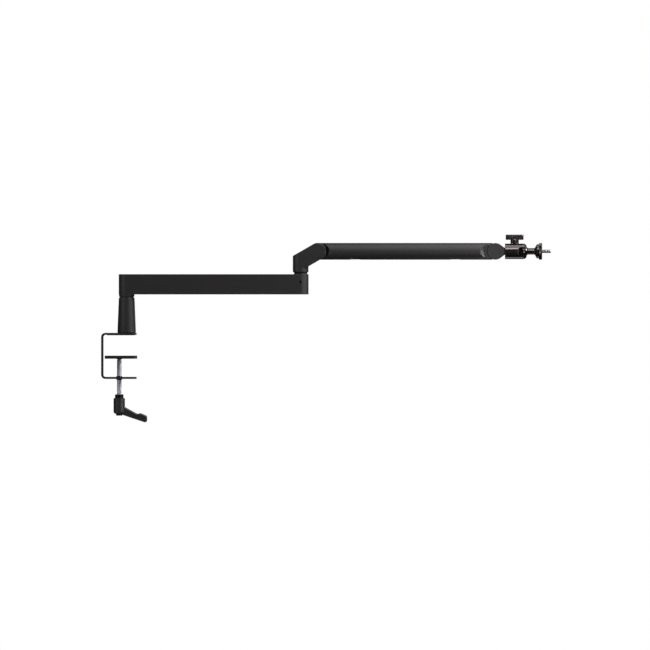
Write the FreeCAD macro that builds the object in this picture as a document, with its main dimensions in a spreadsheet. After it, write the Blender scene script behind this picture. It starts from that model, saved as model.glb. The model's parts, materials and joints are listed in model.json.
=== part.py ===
import FreeCAD
import Part
import Sketcher
import os
import re

# Low desk microphone arm. The arm lies along +X, Z is up, all lengths are millimetres.
# The origin is where the post axis meets the desk top, under the pad of the upper jaw.

SIZES = {
    # Fits shared by many pieces
    "running_clearance": 0.05,
    "loose_clearance": 0.2,
    "cut_overrun": 5,
    # Clamp bracket, bent from flat steel
    "plate_thickness": 3.5,
    "bracket_width": 52,
    "bracket_depth": 61.5,
    "bracket_reach": 17.2,
    "jaw_opening": 73.4,
    "bend_radius": 4,
    "jaw_corner_radius": 7,
    # Soft pad under the upper jaw
    "jaw_pad_thickness": 0.8,
    "jaw_pad_margin": 2.5,
    "jaw_pad_corner_radius": 5,
    # Tapered post and its screws
    "post_height": 61.7,
    "post_bottom_radius": 16.2,
    "post_top_radius": 13.8,
    "post_chamfer": 1,
    "post_floor": 14,
    "post_screw_count": 3,
    "post_screw_circle": 9,
    "post_screw_radius": 2.5,
    "post_screw_head_radius": 4.6,
    "post_screw_length": 13,
    # Plastic bushes of the post and the spigot that turns in them
    "bush_flange_thickness": 0.9,
    "bush_flange_radius": 12.2,
    "post_bush_wall": 2,
    "post_bush_length": 14,
    "spigot_radius": 8,
    "spigot_head_gap": 3.7,
    "spigot_tip_gap": 2,
    "spigot_chamfer": 1,
    "spigot_bolt_radius": 3,
    "spigot_bolt_head_radius": 5,
    "spigot_bolt_head_height": 4,
    "spigot_bolt_length": 22,
    "spigot_bolt_web": 4,
    # Clamp screw, its nut and the pressure plate
    "clamp_screw_offset": 13,
    "clamp_screw_radius": 4,
    "clamp_nut_radius": 5.2,
    "clamp_nut_proud": 1.5,
    "clamp_gap": 35.5,
    "pressure_pad_thickness": 2,
    "pressure_plate_thickness": 3.4,
    "pressure_plate_length": 56.3,
    "pressure_plate_width": 46,
    "pressure_plate_spine_gap": 2.7,
    "pressure_plate_corner_radius": 7,
    "swivel_boss_radius": 5.2,
    "swivel_boss_tip_radius": 4.4,
    "swivel_boss_height": 1,
    "screw_neck_radius": 3,
    "screw_rivet_radius": 4.6,
    "screw_rivet_height": 1.2,
    "screw_rivet_recess": 1.7,
    # Indexing clamp lever with its splined insert
    "clamp_screw_length": 61.1,
    "insert_grip": 14,
    "collar_radius": 7.5,
    "collar_height": 6.6,
    "collar_chamfer": 0.6,
    "spline_count": 16,
    "spline_tip_radius": 6.6,
    "spline_root_radius": 5.9,
    "spline_height": 3.4,
    "insert_neck_radius": 5.2,
    "insert_neck_length": 8,
    "lever_hub_radius": 10,
    "lever_hub_height": 27.4,
    "lever_hub_chamfer": 2.6,
    "lever_chamber_depth": 14.5,
    "lever_flange": 3,
    "lever_recess_radius": 6.4,
    "lever_screw_radius": 2.5,
    "lever_screw_head_radius": 5.6,
    "lever_screw_head_height": 3.2,
    "lever_arm_width": 10,
    "lever_arm_reach": 48.8,
    "lever_root_drop": 10,
    "lever_waist_reach": 32.5,
    "lever_waist_drop": 27.9,
    "lever_tip_start": 36.6,
    "lever_tip_top": 25.8,
    "lever_tip_drop": 43.8,
    "lever_tip_height": 12.8,
    "lever_tip_radius": 4,
    "lever_edge_radius": 3,
    "lever_spring_wire": 1,
    "lever_spring_radius": 4.4,
    "lever_spring_turns": 4,
    # Lower arm, a channel with round ends, and its cable cover
    "lower_arm_span": 303.5,
    "lower_arm_radius": 13.9,
    "lower_arm_height": 35.3,
    "lower_arm_edge_radius": 0.8,
    "arm_boss_radius": 13.5,
    "arm_boss_height": 4.4,
    "arm_boss_chamfer": 1,
    "channel_wall": 2.4,
    "channel_floor": 3,
    "spigot_block": 17,
    "elbow_block": 16.5,
    "cover_rim": 1.2,
    "cover_thickness": 1.6,
    "cover_gap": 0.15,
    "cover_leg_thickness": 1.6,
    "cover_leg_depth": 7,
    "cover_leg_inset": 24,
    "cable_slot_radius": 4.5,
    "cable_slot_length": 16,
    "cable_slot_inset": 12,
    # Elbow pivot, its bushes and side brake
    "elbow_seat_radius": 12.2,
    "elbow_seat_height": 0.7,
    "pivot_radius": 7,
    "pivot_socket_depth": 22,
    "pivot_chamfer": 0.8,
    "elbow_bush_wall": 2,
    "elbow_bush_flange_radius": 11.4,
    "elbow_upper_bush_length": 11.5,
    "pivot_shoulder": 10,
    "pivot_end_float": 0.1,
    "pivot_chamber_radius": 11.2,
    "pivot_washer_radius": 10.4,
    "pivot_washer_thickness": 1.6,
    "pivot_bolt_radius": 3,
    "pivot_bolt_head_radius": 5,
    "pivot_bolt_head_height": 3.6,
    "pivot_bolt_length": 15,
    "elbow_plug_thickness": 2,
    "brake_drop": 13.5,
    "brake_bush_gap": 1.7,
    "brake_radius": 2.1,
    "brake_screw_length": 4,
    "brake_screw_depth": 1.2,
    # Cast elbow with its fork
    "elbow_radius": 13.7,
    "elbow_collar_height": 9.6,
    "elbow_chamfer": 2.8,
    "elbow_slope": 30,
    "hinge_offset": 29.7,
    "hinge_height": 38.3,
    "ear_radius": 14.7,
    "fork_pocket_radius": 17,
    "elbow_edge_radius": 0.8,
    # Friction hinge between elbow and upper arm
    "tongue_width": 12,
    "hinge_washer_thickness": 0.5,
    "hinge_washer_radius": 12.5,
    "axle_radius": 4,
    "axle_head_radius": 7,
    "axle_head_height": 2.4,
    "hinge_nut_radius": 7,
    "hinge_nut_height": 2.6,
    "hinge_spring_radius": 7.4,
    "hinge_spring_thickness": 0.7,
    "hinge_spring_rise": 0.4,
    "hinge_counterbore_radius": 8,
    "hinge_cap_radius": 13.2,
    "hinge_cap_thickness": 1.8,
    "hinge_cap_chamfer": 0.5,
    "hinge_bush_wall": 2,
    # Round upper arm, its end fittings and cable cover
    "upper_arm_span": 310.2,
    "tube_radius": 14.6,
    "tube_wall": 1.8,
    "rear_collar": 26,
    "front_collar": 30,
    "plug_length": 26,
    "rear_recess_radius": 18,
    "rear_bevel_radius": 22.8,
    "rear_bevel_depth": 5.5,
    "rear_bevel_curve": 8,
    "tube_screw_radius": 1.5,
    "tube_screw_head_radius": 2.8,
    "tube_screw_head_height": 1,
    "tube_screw_length": 8,
    "tube_screw_inset": 6,
    "tube_screw_spacing": 12,
    "window_width": 17,
    "window_inset": 32,
    "upper_leg_thickness": 1.6,
    "upper_leg_depth": 6,
    "upper_leg_inset": 20,
    "upper_slot_radius": 3.5,
    "upper_slot_length": 14,
    # Head hinge
    "head_disc_radius": 14.5,
    "head_disc_width": 19,
    "head_disc_chamfer": 0.7,
    "head_recess_radius": 14.8,
    "head_cheek_radius": 20.8,
    "head_bevel_radius": 26.4,
    "head_horn_inset": 5.2,
    "head_web_inset": 0.8,
    "head_tongue_width": 8,
    "head_tongue_radius": 9.5,
    "head_slot_depth": 10.2,
    "head_washer_radius": 9,
    "head_washer_thickness": 0.5,
    "head_axle_radius": 3,
    "head_axle_head_radius": 5.2,
    "head_axle_head_height": 1.5,
    "head_axle_bite": 3.5,
    "head_spring_radius": 5.6,
    "head_spring_thickness": 0.5,
    "head_spring_rise": 0.3,
    "head_counterbore_radius": 6.2,
    "head_cap_radius": 9,
    "head_cap_thickness": 1.2,
    "head_bush_wall": 2,
    "head_nose_half_height": 5.8,
    "head_nose_reach": 16.6,
    # Ball head
    "ball_offset": 48.1,
    "ball_radius": 10,
    "ball_clearance": 0.1,
    "housing_radius": 13.6,
    "housing_front": 7.9,
    "housing_dome_radius": 8,
    "housing_chamfer": 0.6,
    "housing_bore_radius": 10.6,
    "ball_lip_radius": 9.2,
    "ball_mouth_radius": 10.4,
    "ball_slot_radius": 7.2,
    "ball_slot_inset": 2.6,
    "base_length": 11,
    "head_stud_radius": 3.175,
    "head_stud_bite": 5.5,
    "head_stud_length": 15,
    "cup_face": 7.2,
    "cup_length": 12,
    "cup_clearance": 0.1,
    "cup_pocket_gap": 0.6,
    "knob_offset": 14.6,
    "knob_screw_radius": 2.5,
    "knob_screw_tip": 1.2,
    "knob_screw_top": 24,
    "knob_tip_radius": 1,
    "knob_tip_height": 1.5,
    "knob_stem_radius": 7.4,
    "knob_stem_bottom": 13.7,
    "knob_bar_bottom": 20,
    "knob_bar_height": 9.2,
    "knob_bar_length": 31.3,
    "knob_bar_width": 10.6,
    "knob_edge_radius": 1.2,
    "knob_rib_count": 7,
    "knob_rib_pitch": 3.2,
    "knob_rib_radius": 1,
    "knob_rib_depth": 0.6,
    # Ball stem, microphone plate and stud
    "stem_radius": 5.45,
    "stem_reach": 20.1,
    "flare_radius": 12.3,
    "flare_reach": 26.6,
    "flange_reach": 27.5,
    "mic_plate_radius": 14.65,
    "mic_plate_thickness": 4.1,
    "mic_plate_chamfer": 0.5,
    "mic_pad_radius": 14.65,
    "mic_pad_thickness": 1.7,
    "mic_stud_radius": 3.175,
    "mic_stud_reach": 15.5,
    "mic_stud_chamfer": 0.8,
    "mic_stud_root_radius": 2.8,
    "mic_stud_root_length": 9,
}

# Places that follow from the sizes, each worked out once.
PLACES = {
    "jaw_top": "jaw_pad_thickness + plate_thickness",
    "lower_jaw_top": "jaw_pad_thickness - jaw_opening",
    "lower_jaw_bottom": "lower_jaw_top - plate_thickness",
    "spine_back": "bracket_reach - bracket_depth",
    "spine_inside": "spine_back + plate_thickness",
    "post_top": "jaw_top + post_height",
    "post_bush_radius": "spigot_radius + post_bush_wall",
    "boss_bottom": "post_top + bush_flange_thickness",
    "arm_bottom": "boss_bottom + arm_boss_height",
    "arm_top": "arm_bottom + lower_arm_height",
    "seat_top": "arm_top + elbow_seat_height",
    "elbow_bottom": "seat_top + bush_flange_thickness",
    "hinge_x": "lower_arm_span + hinge_offset",
    "hinge_z": "elbow_bottom + hinge_height",
    "head_x": "hinge_x + upper_arm_span",
    "ball_x": "head_x + ball_offset",
    "pressure_plate_back": "spine_inside + pressure_plate_spine_gap",
    "pressure_plate_front": "pressure_plate_back + pressure_plate_length",
    "pressure_plate_top": "-clamp_gap - pressure_pad_thickness",
    "pressure_plate_bottom": "pressure_plate_top - pressure_plate_thickness",
    "swivel_bottom": "pressure_plate_bottom - swivel_boss_height",
    "collar_top": "swivel_bottom - clamp_screw_length",
    "lever_top": "collar_top - collar_height",
    "lever_bottom": "lever_top - lever_hub_height",
    "spring_seat": "lever_top - lever_chamber_depth - lever_flange",
    "cover_radius": "lower_arm_radius - cover_rim",
    "cover_end": "lower_arm_span - elbow_block",
    "channel_half_width": "lower_arm_radius - channel_wall",
    "channel_end": "lower_arm_span - elbow_block",
    "spigot_socket_depth": "lower_arm_height - cover_thickness - spigot_head_gap - spigot_bolt_head_height"
                           " - spigot_bolt_web",
    "elbow_bush_radius": "pivot_radius + elbow_bush_wall",
    "brake_height": "lower_arm_height - brake_drop",
    "elbow_lower_bush_length": "brake_height - brake_radius - pivot_shoulder - brake_bush_gap",
    "pivot_bottom": "arm_bottom + pivot_shoulder - pivot_end_float",
    "ear_low_x": "hinge_offset + ear_radius * sin(elbow_slope * 1deg)",
    "ear_low_z": "hinge_height - ear_radius * cos(elbow_slope * 1deg)",
    "ear_high_x": "hinge_offset - ear_radius * sin(elbow_slope * 1deg)",
    "ear_high_z": "hinge_height + ear_radius * cos(elbow_slope * 1deg)",
    "elbow_chin": "ear_low_z - (ear_low_x - elbow_radius) * tan(elbow_slope * 1deg)",
    "elbow_nape": "ear_high_z - (ear_high_x + elbow_radius) * tan(elbow_slope * 1deg)",
    "axle_head_face": "elbow_radius - hinge_cap_thickness - loose_clearance - axle_head_height",
    "hinge_spring_face": "elbow_radius - hinge_cap_thickness - loose_clearance - hinge_nut_height"
                         " - hinge_spring_thickness - hinge_spring_rise",
    "ear_inside": "tongue_width / 2 + hinge_washer_thickness",
    "hinge_bush_radius": "axle_radius + running_clearance + hinge_bush_wall",
    "tube_bore_radius": "tube_radius - tube_wall",
    "tube_end": "upper_arm_span - front_collar",
    "window_start": "rear_collar + window_inset",
    "window_end": "tube_end - window_inset",
    "head_web_height": "tube_radius - head_web_inset",
    "head_ear_inside": "head_tongue_width / 2 + head_washer_thickness",
    "head_ear_outside": "head_disc_width / 2",
    "head_spring_face": "head_ear_outside - head_cap_thickness - loose_clearance - head_axle_head_height"
                        " - head_spring_thickness - head_spring_rise",
    "head_bush_radius": "head_axle_radius + running_clearance + head_bush_wall",
    "nose_corner": "sqrt(head_nose_reach ^ 2 + head_nose_half_height ^ 2)",
    "nose_flank": "sqrt(nose_corner ^ 2 - head_disc_radius ^ 2)",
    "nose_tangent_x": "head_disc_radius * (head_disc_radius * head_nose_reach"
                      " - nose_flank * head_nose_half_height) / nose_corner ^ 2",
    "nose_tangent_z": "head_disc_radius * (head_disc_radius * head_nose_half_height"
                      " + nose_flank * head_nose_reach) / nose_corner ^ 2",
    "housing_back": "head_nose_reach - ball_offset",
    "ball_seat_radius": "ball_radius + ball_clearance",
    "mic_pad_face": "flange_reach + mic_plate_thickness + mic_pad_thickness",
}

doc = FreeCAD.newDocument("microphone_boom_arm")


def fill_sheet(name, rows):
    """Sheet with one named cell per row."""
    sheet = doc.addObject("Spreadsheet::Sheet", name)
    for row, (alias, content) in enumerate(rows.items(), start=1):
        cell = "B%d" % row
        sheet.set("A%d" % row, alias)
        sheet.set(cell, content)
        sheet.setAlias(cell, alias)
    return sheet


def bound(text):
    """Expression in which every named size or place points at its sheet."""
    return re.sub(r"[a-z_]+", lambda word: CELLS.get(word.group(), word.group()), text)


CELLS = {alias: "Sizes." + alias for alias in SIZES}
sizes = fill_sheet("Sizes", {alias: str(number) for alias, number in SIZES.items()})
CELLS.update({alias: "Places." + alias for alias in PLACES})
places = fill_sheet("Places", {alias: "=" + bound(text) for alias, text in PLACES.items()})
doc.recompute()
nodes = []


def value(text):
    """Number that an expression stands for now."""
    number = sizes.evalExpression(bound(text))
    return float(getattr(number, "Value", number))


def put(thing, x="0", y="0", z="0"):
    """Bind the place of a document object."""
    for axis, text in zip("xyz", (x, y, z)):
        thing.setExpression("Placement.Base." + axis, bound(text))


def piece(label, x="0", y="0", z="0", kept=True):
    """New body with its own name and place."""
    body = doc.addObject("PartDesign::Body", label)
    body.Label = label
    put(body, x, y, z)
    if kept:
        nodes.append(body)
    return body


def sketch_on(body, role, lift="0"):
    """Sketch on one of the body's own origin planes, lifted along the plane's normal."""
    sketch = body.newObject("Sketcher::SketchObject", body.Name + "_sketch")
    plane = next(item for item in body.Origin.OriginFeatures if item.Role == role)
    sketch.AttachmentSupport = (plane, [""])
    sketch.MapMode = "FlatFace"
    sketch.setExpression("AttachmentOffset.Base.z", bound(lift))
    return sketch


def constrain(sketch, rules):
    """Add constraints, each with the expression that drives it or none."""
    first = sketch.ConstraintCount
    sketch.addConstraint([rule for rule, text in rules])
    for index, (rule, text) in enumerate(rules, start=first):
        if text:
            sketch.setExpression("Constraints[%d]" % index, bound(text))


def pinned(element, vertex, x, y):
    """Constraints that hold one point of a sketch at (x, y)."""
    rules = []
    for kind, text, axis in (("DistanceX", x, -2), ("DistanceY", y, -1)):
        if text == "0":
            rules.append((Sketcher.Constraint("PointOnObject", element, vertex, axis), None))
        else:
            number = value(text)
            rules.append((Sketcher.Constraint(kind, -1, 1, element, vertex, number), text))
    return rules


def arc_between(start, end, radius, turn):
    """Arc of less than half a circle from start to end, turning ccw or cw."""
    if turn == "cw":
        start, end = end, start
    chord = end - start
    left = FreeCAD.Vector(-chord.y, chord.x, 0)
    rise = max(radius ** 2 - (chord.Length / 2) ** 2, 0) ** 0.5
    centre = (start + end) / 2 + left.normalize() * rise
    ring = Part.Circle(centre, FreeCAD.Vector(0, 0, 1), radius)
    return Part.ArcOfCircle(ring, ring.parameter(start), ring.parameter(end))


def outline(sketch, corners):
    """Closed outline. A corner is (x, y), or (x, y, radius, turn) where an arc arrives there."""
    points = [FreeCAD.Vector(value(corner[0]), value(corner[1]), 0) for corner in corners]
    sides = []
    for index in range(len(corners)):
        target = corners[(index + 1) % len(corners)]
        start = points[index]
        end = points[(index + 1) % len(corners)]
        if len(target) == 2:
            sides.append((Part.LineSegment(start, end), 1, 2, None))
        else:
            tail, head = (1, 2) if target[3] == "ccw" else (2, 1)
            sides.append((arc_between(start, end, value(target[2]), target[3]), tail, head, target[2]))
    first = sketch.GeometryCount
    sketch.addGeometry([side[0] for side in sides], False)
    rules = []
    for index, (shape, tail, head, radius) in enumerate(sides):
        follower = (index + 1) % len(sides)
        joint = (first + index, head, first + follower, sides[follower][1])
        rules.append((Sketcher.Constraint("Coincident", *joint), None))
        rules.extend(pinned(first + index, tail, corners[index][0], corners[index][1]))
        if radius:
            rules.append((Sketcher.Constraint("Radius", first + index, value(radius)), radius))
    constrain(sketch, rules)


def circle(sketch, x, y, radius):
    """Circle bound by its centre and radius."""
    centre = FreeCAD.Vector(value(x), value(y), 0)
    element = sketch.addGeometry(Part.Circle(centre, FreeCAD.Vector(0, 0, 1), value(radius)), False)
    rules = pinned(element, 3, x, y)
    rules.append((Sketcher.Constraint("Radius", element, value(radius)), radius))
    constrain(sketch, rules)


def rectangle(sketch, x_low, x_high, y_low, y_high):
    """Rectangle between four bound sides."""
    outline(sketch, [(x_low, y_low), (x_high, y_low), (x_high, y_high), (x_low, y_high)])


def obround(sketch, x_low, x_high, radius):
    """Slot outline along x about the sketch axis, between the centres of its round ends."""
    below = "-(%s)" % radius
    outline(sketch, [
        (x_low, below, radius, "ccw"),
        (x_high, below),
        ("(%s) + (%s)" % (x_high, radius), "0", radius, "ccw"),
        (x_high, radius, radius, "ccw"),
        (x_low, radius),
        ("(%s) - (%s)" % (x_low, radius), "0", radius, "ccw"),
    ])


def volume(body):
    """Volume of the body so far."""
    return 0 if body.Shape.isNull() else body.Shape.Volume


def settle(body, item, before, cut):
    """Recompute a feature and make sure that it added or removed material."""
    doc.recompute()
    change = volume(body) - before
    if (change >= 0) if cut else (change <= 0):
        raise RuntimeError("%s has no effect on %s" % (item.Name, body.Label))


def extrude(body, sketch, length, cut=False, both=False, back=False):
    """Pad or pocket of a sketch: pads follow the plane's normal and pockets go against it."""
    before = volume(body)
    item = body.newObject("PartDesign::Pocket" if cut else "PartDesign::Pad", body.Name + "_step")
    item.Profile = sketch
    item.setExpression("Length", bound(length))
    item.SideType = "Symmetric" if both else "One side"
    item.Reversed = back
    settle(body, item, before, cut)


TURNING = {"x": ("XZ_Plane", "H_Axis"), "y": ("YZ_Plane", "H_Axis"), "z": ("XZ_Plane", "V_Axis")}


def turned(body, axis, corners, cut=False):
    """Solid or cut of revolution. Corners are (along, radius), or (radius, height) about z."""
    before = volume(body)
    role, line = TURNING[axis]
    sketch = sketch_on(body, role)
    outline(sketch, corners)
    item = body.newObject("PartDesign::Groove" if cut else "PartDesign::Revolution", body.Name + "_turn")
    item.Profile = sketch
    item.ReferenceAxis = (sketch, [line])
    settle(body, item, before, cut)


def sleeve(body, axis, low, high, inner, outer):
    """Plain ring or tube about an axis."""
    if axis == "z":
        turned(body, axis, [(inner, low), (outer, low), (outer, high), (inner, high)])
    else:
        turned(body, axis, [(low, inner), (high, inner), (high, outer), (low, outer)])


def drill(body, role, lift, x, y, radius, depth, both=False, back=False):
    """Round hole from a lifted origin plane."""
    sketch = sketch_on(body, role, lift)
    circle(sketch, x, y, radius)
    extrude(body, sketch, depth, cut=True, both=both, back=back)


NEAR = 0.001


def runs(edge, axis):
    """Straight edge parallel to an axis."""
    if not isinstance(edge.Curve, Part.Line):
        return False
    return abs(getattr(edge.Curve.Direction, axis)) > 1 - NEAR


def lies(edge, axis, text):
    """Edge whose points all have one coordinate, whatever its sign where text starts with +-."""
    low, high = (getattr(edge.BoundBox, axis.upper() + end) for end in ("Min", "Max"))
    if text.startswith("+-"):
        target = value(text[2:])
        return abs(abs(low) - target) < NEAR and abs(abs(high) - target) < NEAR and low * high > 0
    return abs(low - value(text)) < NEAR and abs(high - value(text)) < NEAR


def soften(body, kind, size, test):
    """Fillet or chamfer on the edges of the body so far that pass a test."""
    base = body.Tip
    names = ["Edge%d" % (index + 1) for index, edge in enumerate(base.Shape.Edges) if test(edge)]
    if not names:
        raise RuntimeError("no edge to soften on " + body.Label)
    item = body.newObject("PartDesign::" + kind, body.Name + "_edge")
    item.Base = (base, names)
    item.setExpression("Radius" if kind == "Fillet" else "Size", bound(size))
    doc.recompute()


def group(label, bodies):
    """One node made of several separate like solids."""
    item = doc.addObject("Part::Compound", label)
    item.Label = label
    item.Links = bodies
    nodes.append(item)


def round_end(sketch, radius, side):
    """Region outside a half circle about the sketch origin, on its left (-) or right (+) side."""
    far = "%s((%s) + cut_overrun)" % (side, radius)
    tip = "%s(%s)" % (side, radius)
    up, down = ("-(%s)" % radius, radius) if side == "+" else (radius, "-(%s)" % radius)
    up_far = "(%s) %s cut_overrun" % (up, "-" if side == "+" else "+")
    down_far = "(%s) %s cut_overrun" % (down, "+" if side == "+" else "-")
    outline(sketch, [
        ("0", up, radius, "cw"),
        ("0", up_far),
        (far, up_far),
        (far, down_far),
        ("0", down_far),
        ("0", down),
        (tip, "0", radius, "cw"),
    ])


def ring_points(count, radii):
    """Corners evenly spread round a circle, taking the radii in turn."""
    step = "360 / %d * 1deg" % count
    return [
        ("(%s) * cos(%d * %s)" % (radii[index % len(radii)], index, step),
         "(%s) * sin(%d * %s)" % (radii[index % len(radii)], index, step))
        for index in range(count)
    ]


# Clamp bracket: one strip of steel bent into a C, open towards +X.
bracket = piece("clamp_bracket")
section = sketch_on(bracket, "XZ_Plane")
outline(section, [
    ("spine_back", "jaw_top"),
    ("spine_back", "lower_jaw_bottom"),
    ("bracket_reach", "lower_jaw_bottom"),
    ("bracket_reach", "lower_jaw_top"),
    ("spine_inside", "lower_jaw_top"),
    ("spine_inside", "jaw_pad_thickness"),
    ("bracket_reach", "jaw_pad_thickness"),
    ("bracket_reach", "jaw_top"),
])
extrude(bracket, section, "bracket_width", both=True)
soften(bracket, "Fillet", "bend_radius", lambda edge: runs(edge, "y") and lies(edge, "x", "spine_inside"))
soften(bracket, "Fillet", "bend_radius + plate_thickness",
       lambda edge: runs(edge, "y") and lies(edge, "x", "spine_back"))
soften(bracket, "Fillet", "jaw_corner_radius",
       lambda edge: runs(edge, "z") and lies(edge, "x", "bracket_reach"))
screw_places = [
    ("post_screw_circle * cos((%d + 0.5) * 360 / post_screw_count * 1deg)" % index,
     "post_screw_circle * sin((%d + 0.5) * 360 / post_screw_count * 1deg)" % index)
    for index in range(int(value("post_screw_count")))
]
screw_hole = "post_screw_radius + loose_clearance"
for x, y in screw_places:
    drill(bracket, "XY_Plane", "jaw_pad_thickness", x, y, screw_hole, "plate_thickness", back=True)
soften(bracket, "Chamfer", "post_screw_head_radius - post_screw_radius - loose_clearance",
       lambda edge: isinstance(edge.Curve, Part.Circle) and lies(edge, "z", "jaw_pad_thickness")
       and abs(edge.Curve.Radius - value(screw_hole)) < NEAR)
drill(bracket, "XY_Plane", "lower_jaw_top", "-clamp_screw_offset", "0", "clamp_nut_radius", "plate_thickness")

# Soft pad glued under the upper jaw, over the screw heads.
jaw_pad = piece("jaw_pad")
plan = sketch_on(jaw_pad, "XY_Plane")
rectangle(plan, "spine_inside + bend_radius + jaw_pad_margin", "bracket_reach - jaw_pad_margin",
          "jaw_pad_margin - bracket_width / 2", "bracket_width / 2 - jaw_pad_margin")
extrude(jaw_pad, plan, "jaw_pad_thickness")
soften(jaw_pad, "Fillet", "jaw_pad_corner_radius", lambda edge: runs(edge, "z"))

# Nut in the lower jaw, standing proud on both sides.
clamp_nut = piece("clamp_nut", x="-clamp_screw_offset")
sleeve(clamp_nut, "z", "lower_jaw_bottom - clamp_nut_proud", "lower_jaw_top + clamp_nut_proud",
       "clamp_screw_radius + running_clearance", "clamp_nut_radius")

# Tapered post, bored from the top for the bushes.
post = piece("post", z="jaw_top")
turned(post, "z", [
    ("0", "0"),
    ("post_bottom_radius - post_chamfer", "0"),
    ("post_bottom_radius", "post_chamfer"),
    ("post_top_radius", "post_height - post_chamfer"),
    ("post_top_radius - post_chamfer", "post_height"),
    ("post_bush_radius", "post_height"),
    ("post_bush_radius", "post_floor"),
    ("0", "post_floor"),
])
for x, y in screw_places:
    drill(post, "XY_Plane", "0", x, y, "post_screw_radius",
          "post_screw_length - plate_thickness + loose_clearance", back=True)

# Countersunk screws up through the jaw into the post.
screws = []
for number, (x, y) in enumerate(screw_places, start=1):
    screw = piece("post_screw_%d" % number, x, y, "jaw_pad_thickness", kept=False)
    turned(screw, "z", [
        ("0", "0"),
        ("post_screw_head_radius", "0"),
        ("post_screw_radius", "post_screw_head_radius - post_screw_radius"),
        ("post_screw_radius", "post_screw_length"),
        ("0", "post_screw_length"),
    ])
    screws.append(screw)
group("post_screws", screws)

# Plastic bushes pressed into the post; the upper one has the flange that the arm turns on.
upper_bush = piece("post_upper_bush", z="post_top")
turned(upper_bush, "z", [
    ("spigot_radius + running_clearance", "-post_bush_length"),
    ("post_bush_radius", "-post_bush_length"),
    ("post_bush_radius", "0"),
    ("bush_flange_radius", "0"),
    ("bush_flange_radius", "bush_flange_thickness"),
    ("spigot_radius + running_clearance", "bush_flange_thickness"),
])
lower_bush = piece("post_lower_bush", z="jaw_top + post_floor")
sleeve(lower_bush, "z", "0", "post_bush_length", "spigot_radius + running_clearance", "post_bush_radius")

# Pressure plate with the conical boss that takes the neck of the clamp screw.
plate = piece("pressure_plate", x="-clamp_screw_offset", z="pressure_plate_bottom")
plate_sides = ("pressure_plate_back + clamp_screw_offset", "pressure_plate_front + clamp_screw_offset",
               "-pressure_plate_width / 2", "pressure_plate_width / 2")
plan = sketch_on(plate, "XY_Plane")
rectangle(plan, *plate_sides)
extrude(plate, plan, "pressure_plate_thickness")
soften(plate, "Fillet", "pressure_plate_corner_radius", lambda edge: runs(edge, "z"))
turned(plate, "z", [
    ("0", "-swivel_boss_height"),
    ("swivel_boss_tip_radius", "-swivel_boss_height"),
    ("swivel_boss_radius", "0"),
    ("0", "0"),
])
drill(plate, "XY_Plane", "pressure_plate_thickness", "0", "0", "screw_neck_radius + running_clearance",
      "pressure_plate_thickness + swivel_boss_height")
drill(plate, "XY_Plane", "pressure_plate_thickness", "0", "0", "screw_rivet_radius + loose_clearance",
      "screw_rivet_recess")

# Soft pad on the pressure plate.
pressure_pad = piece("pressure_pad", x="-clamp_screw_offset", z="pressure_plate_top")
plan = sketch_on(pressure_pad, "XY_Plane")
rectangle(plan, *plate_sides)
extrude(pressure_pad, plan, "pressure_pad_thickness")
soften(pressure_pad, "Fillet", "pressure_plate_corner_radius", lambda edge: runs(edge, "z"))

# Clamp screw: its neck passes the plate and is headed over in the plate's recess.
clamp_screw = piece("clamp_screw", x="-clamp_screw_offset", z="swivel_bottom")
neck_top = "swivel_boss_height + pressure_plate_thickness - screw_rivet_recess"
turned(clamp_screw, "z", [
    ("0", "-clamp_screw_length - insert_grip"),
    ("clamp_screw_radius", "-clamp_screw_length - insert_grip"),
    ("clamp_screw_radius", "0"),
    ("screw_neck_radius", "0"),
    ("screw_neck_radius", neck_top),
    ("screw_rivet_radius", neck_top),
    ("screw_rivet_radius", neck_top + " + screw_rivet_height"),
    ("0", neck_top + " + screw_rivet_height"),
])

# Splined insert fixed on the end of the clamp screw.
insert = piece("lever_insert", x="-clamp_screw_offset", z="lever_top")
turned(insert, "z", [
    ("clamp_screw_radius", "collar_height"),
    ("clamp_screw_radius", "collar_height - insert_grip"),
    ("lever_screw_radius", "collar_height - insert_grip"),
    ("lever_screw_radius", "-spline_height - insert_neck_length"),
    ("insert_neck_radius", "-spline_height - insert_neck_length"),
    ("insert_neck_radius", "0"),
    ("collar_radius", "0"),
    ("collar_radius", "collar_height - collar_chamfer"),
    ("collar_radius - collar_chamfer", "collar_height"),
])
spline_points = 2 * int(value("spline_count"))
teeth = sketch_on(insert, "XY_Plane")
outline(teeth, ring_points(spline_points, ["spline_tip_radius", "spline_root_radius"]))
circle(teeth, "0", "0", "clamp_screw_radius")
extrude(insert, teeth, "spline_height", back=True)

# Clamp lever: hub and arm cast together, with the matching splines inside.
lever = piece("clamp_lever", x="-clamp_screw_offset", z="lever_top")
side = sketch_on(lever, "XZ_Plane")
outline(side, [
    ("0", "-lever_root_drop"),
    ("0", "-lever_hub_height"),
    ("lever_arm_reach", "-lever_tip_drop"),
    ("lever_arm_reach", "lever_tip_height - lever_tip_drop"),
    ("lever_tip_start", "-lever_tip_top"),
    ("lever_waist_reach", "-lever_waist_drop"),
])
extrude(lever, side, "lever_arm_width", both=True)
soften(lever, "Fillet", "lever_tip_radius",
       lambda edge: runs(edge, "y") and not lies(edge, "x", "0"))
soften(lever, "Fillet", "lever_edge_radius",
       lambda edge: lies(edge, "y", "+-lever_arm_width / 2") and not lies(edge, "x", "0"))
turned(lever, "z", [
    ("0", "0"),
    ("0", "-lever_hub_height"),
    ("lever_hub_radius - lever_hub_chamfer", "-lever_hub_height"),
    ("lever_hub_radius", "lever_hub_chamfer - lever_hub_height"),
    ("lever_hub_radius", "-collar_chamfer"),
    ("lever_hub_radius - collar_chamfer", "0"),
])
teeth = sketch_on(lever, "XY_Plane")
outline(teeth, ring_points(spline_points, [
    "spline_tip_radius + running_clearance",
    "spline_root_radius + running_clearance",
]))
extrude(lever, teeth, "spline_height", cut=True)
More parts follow.
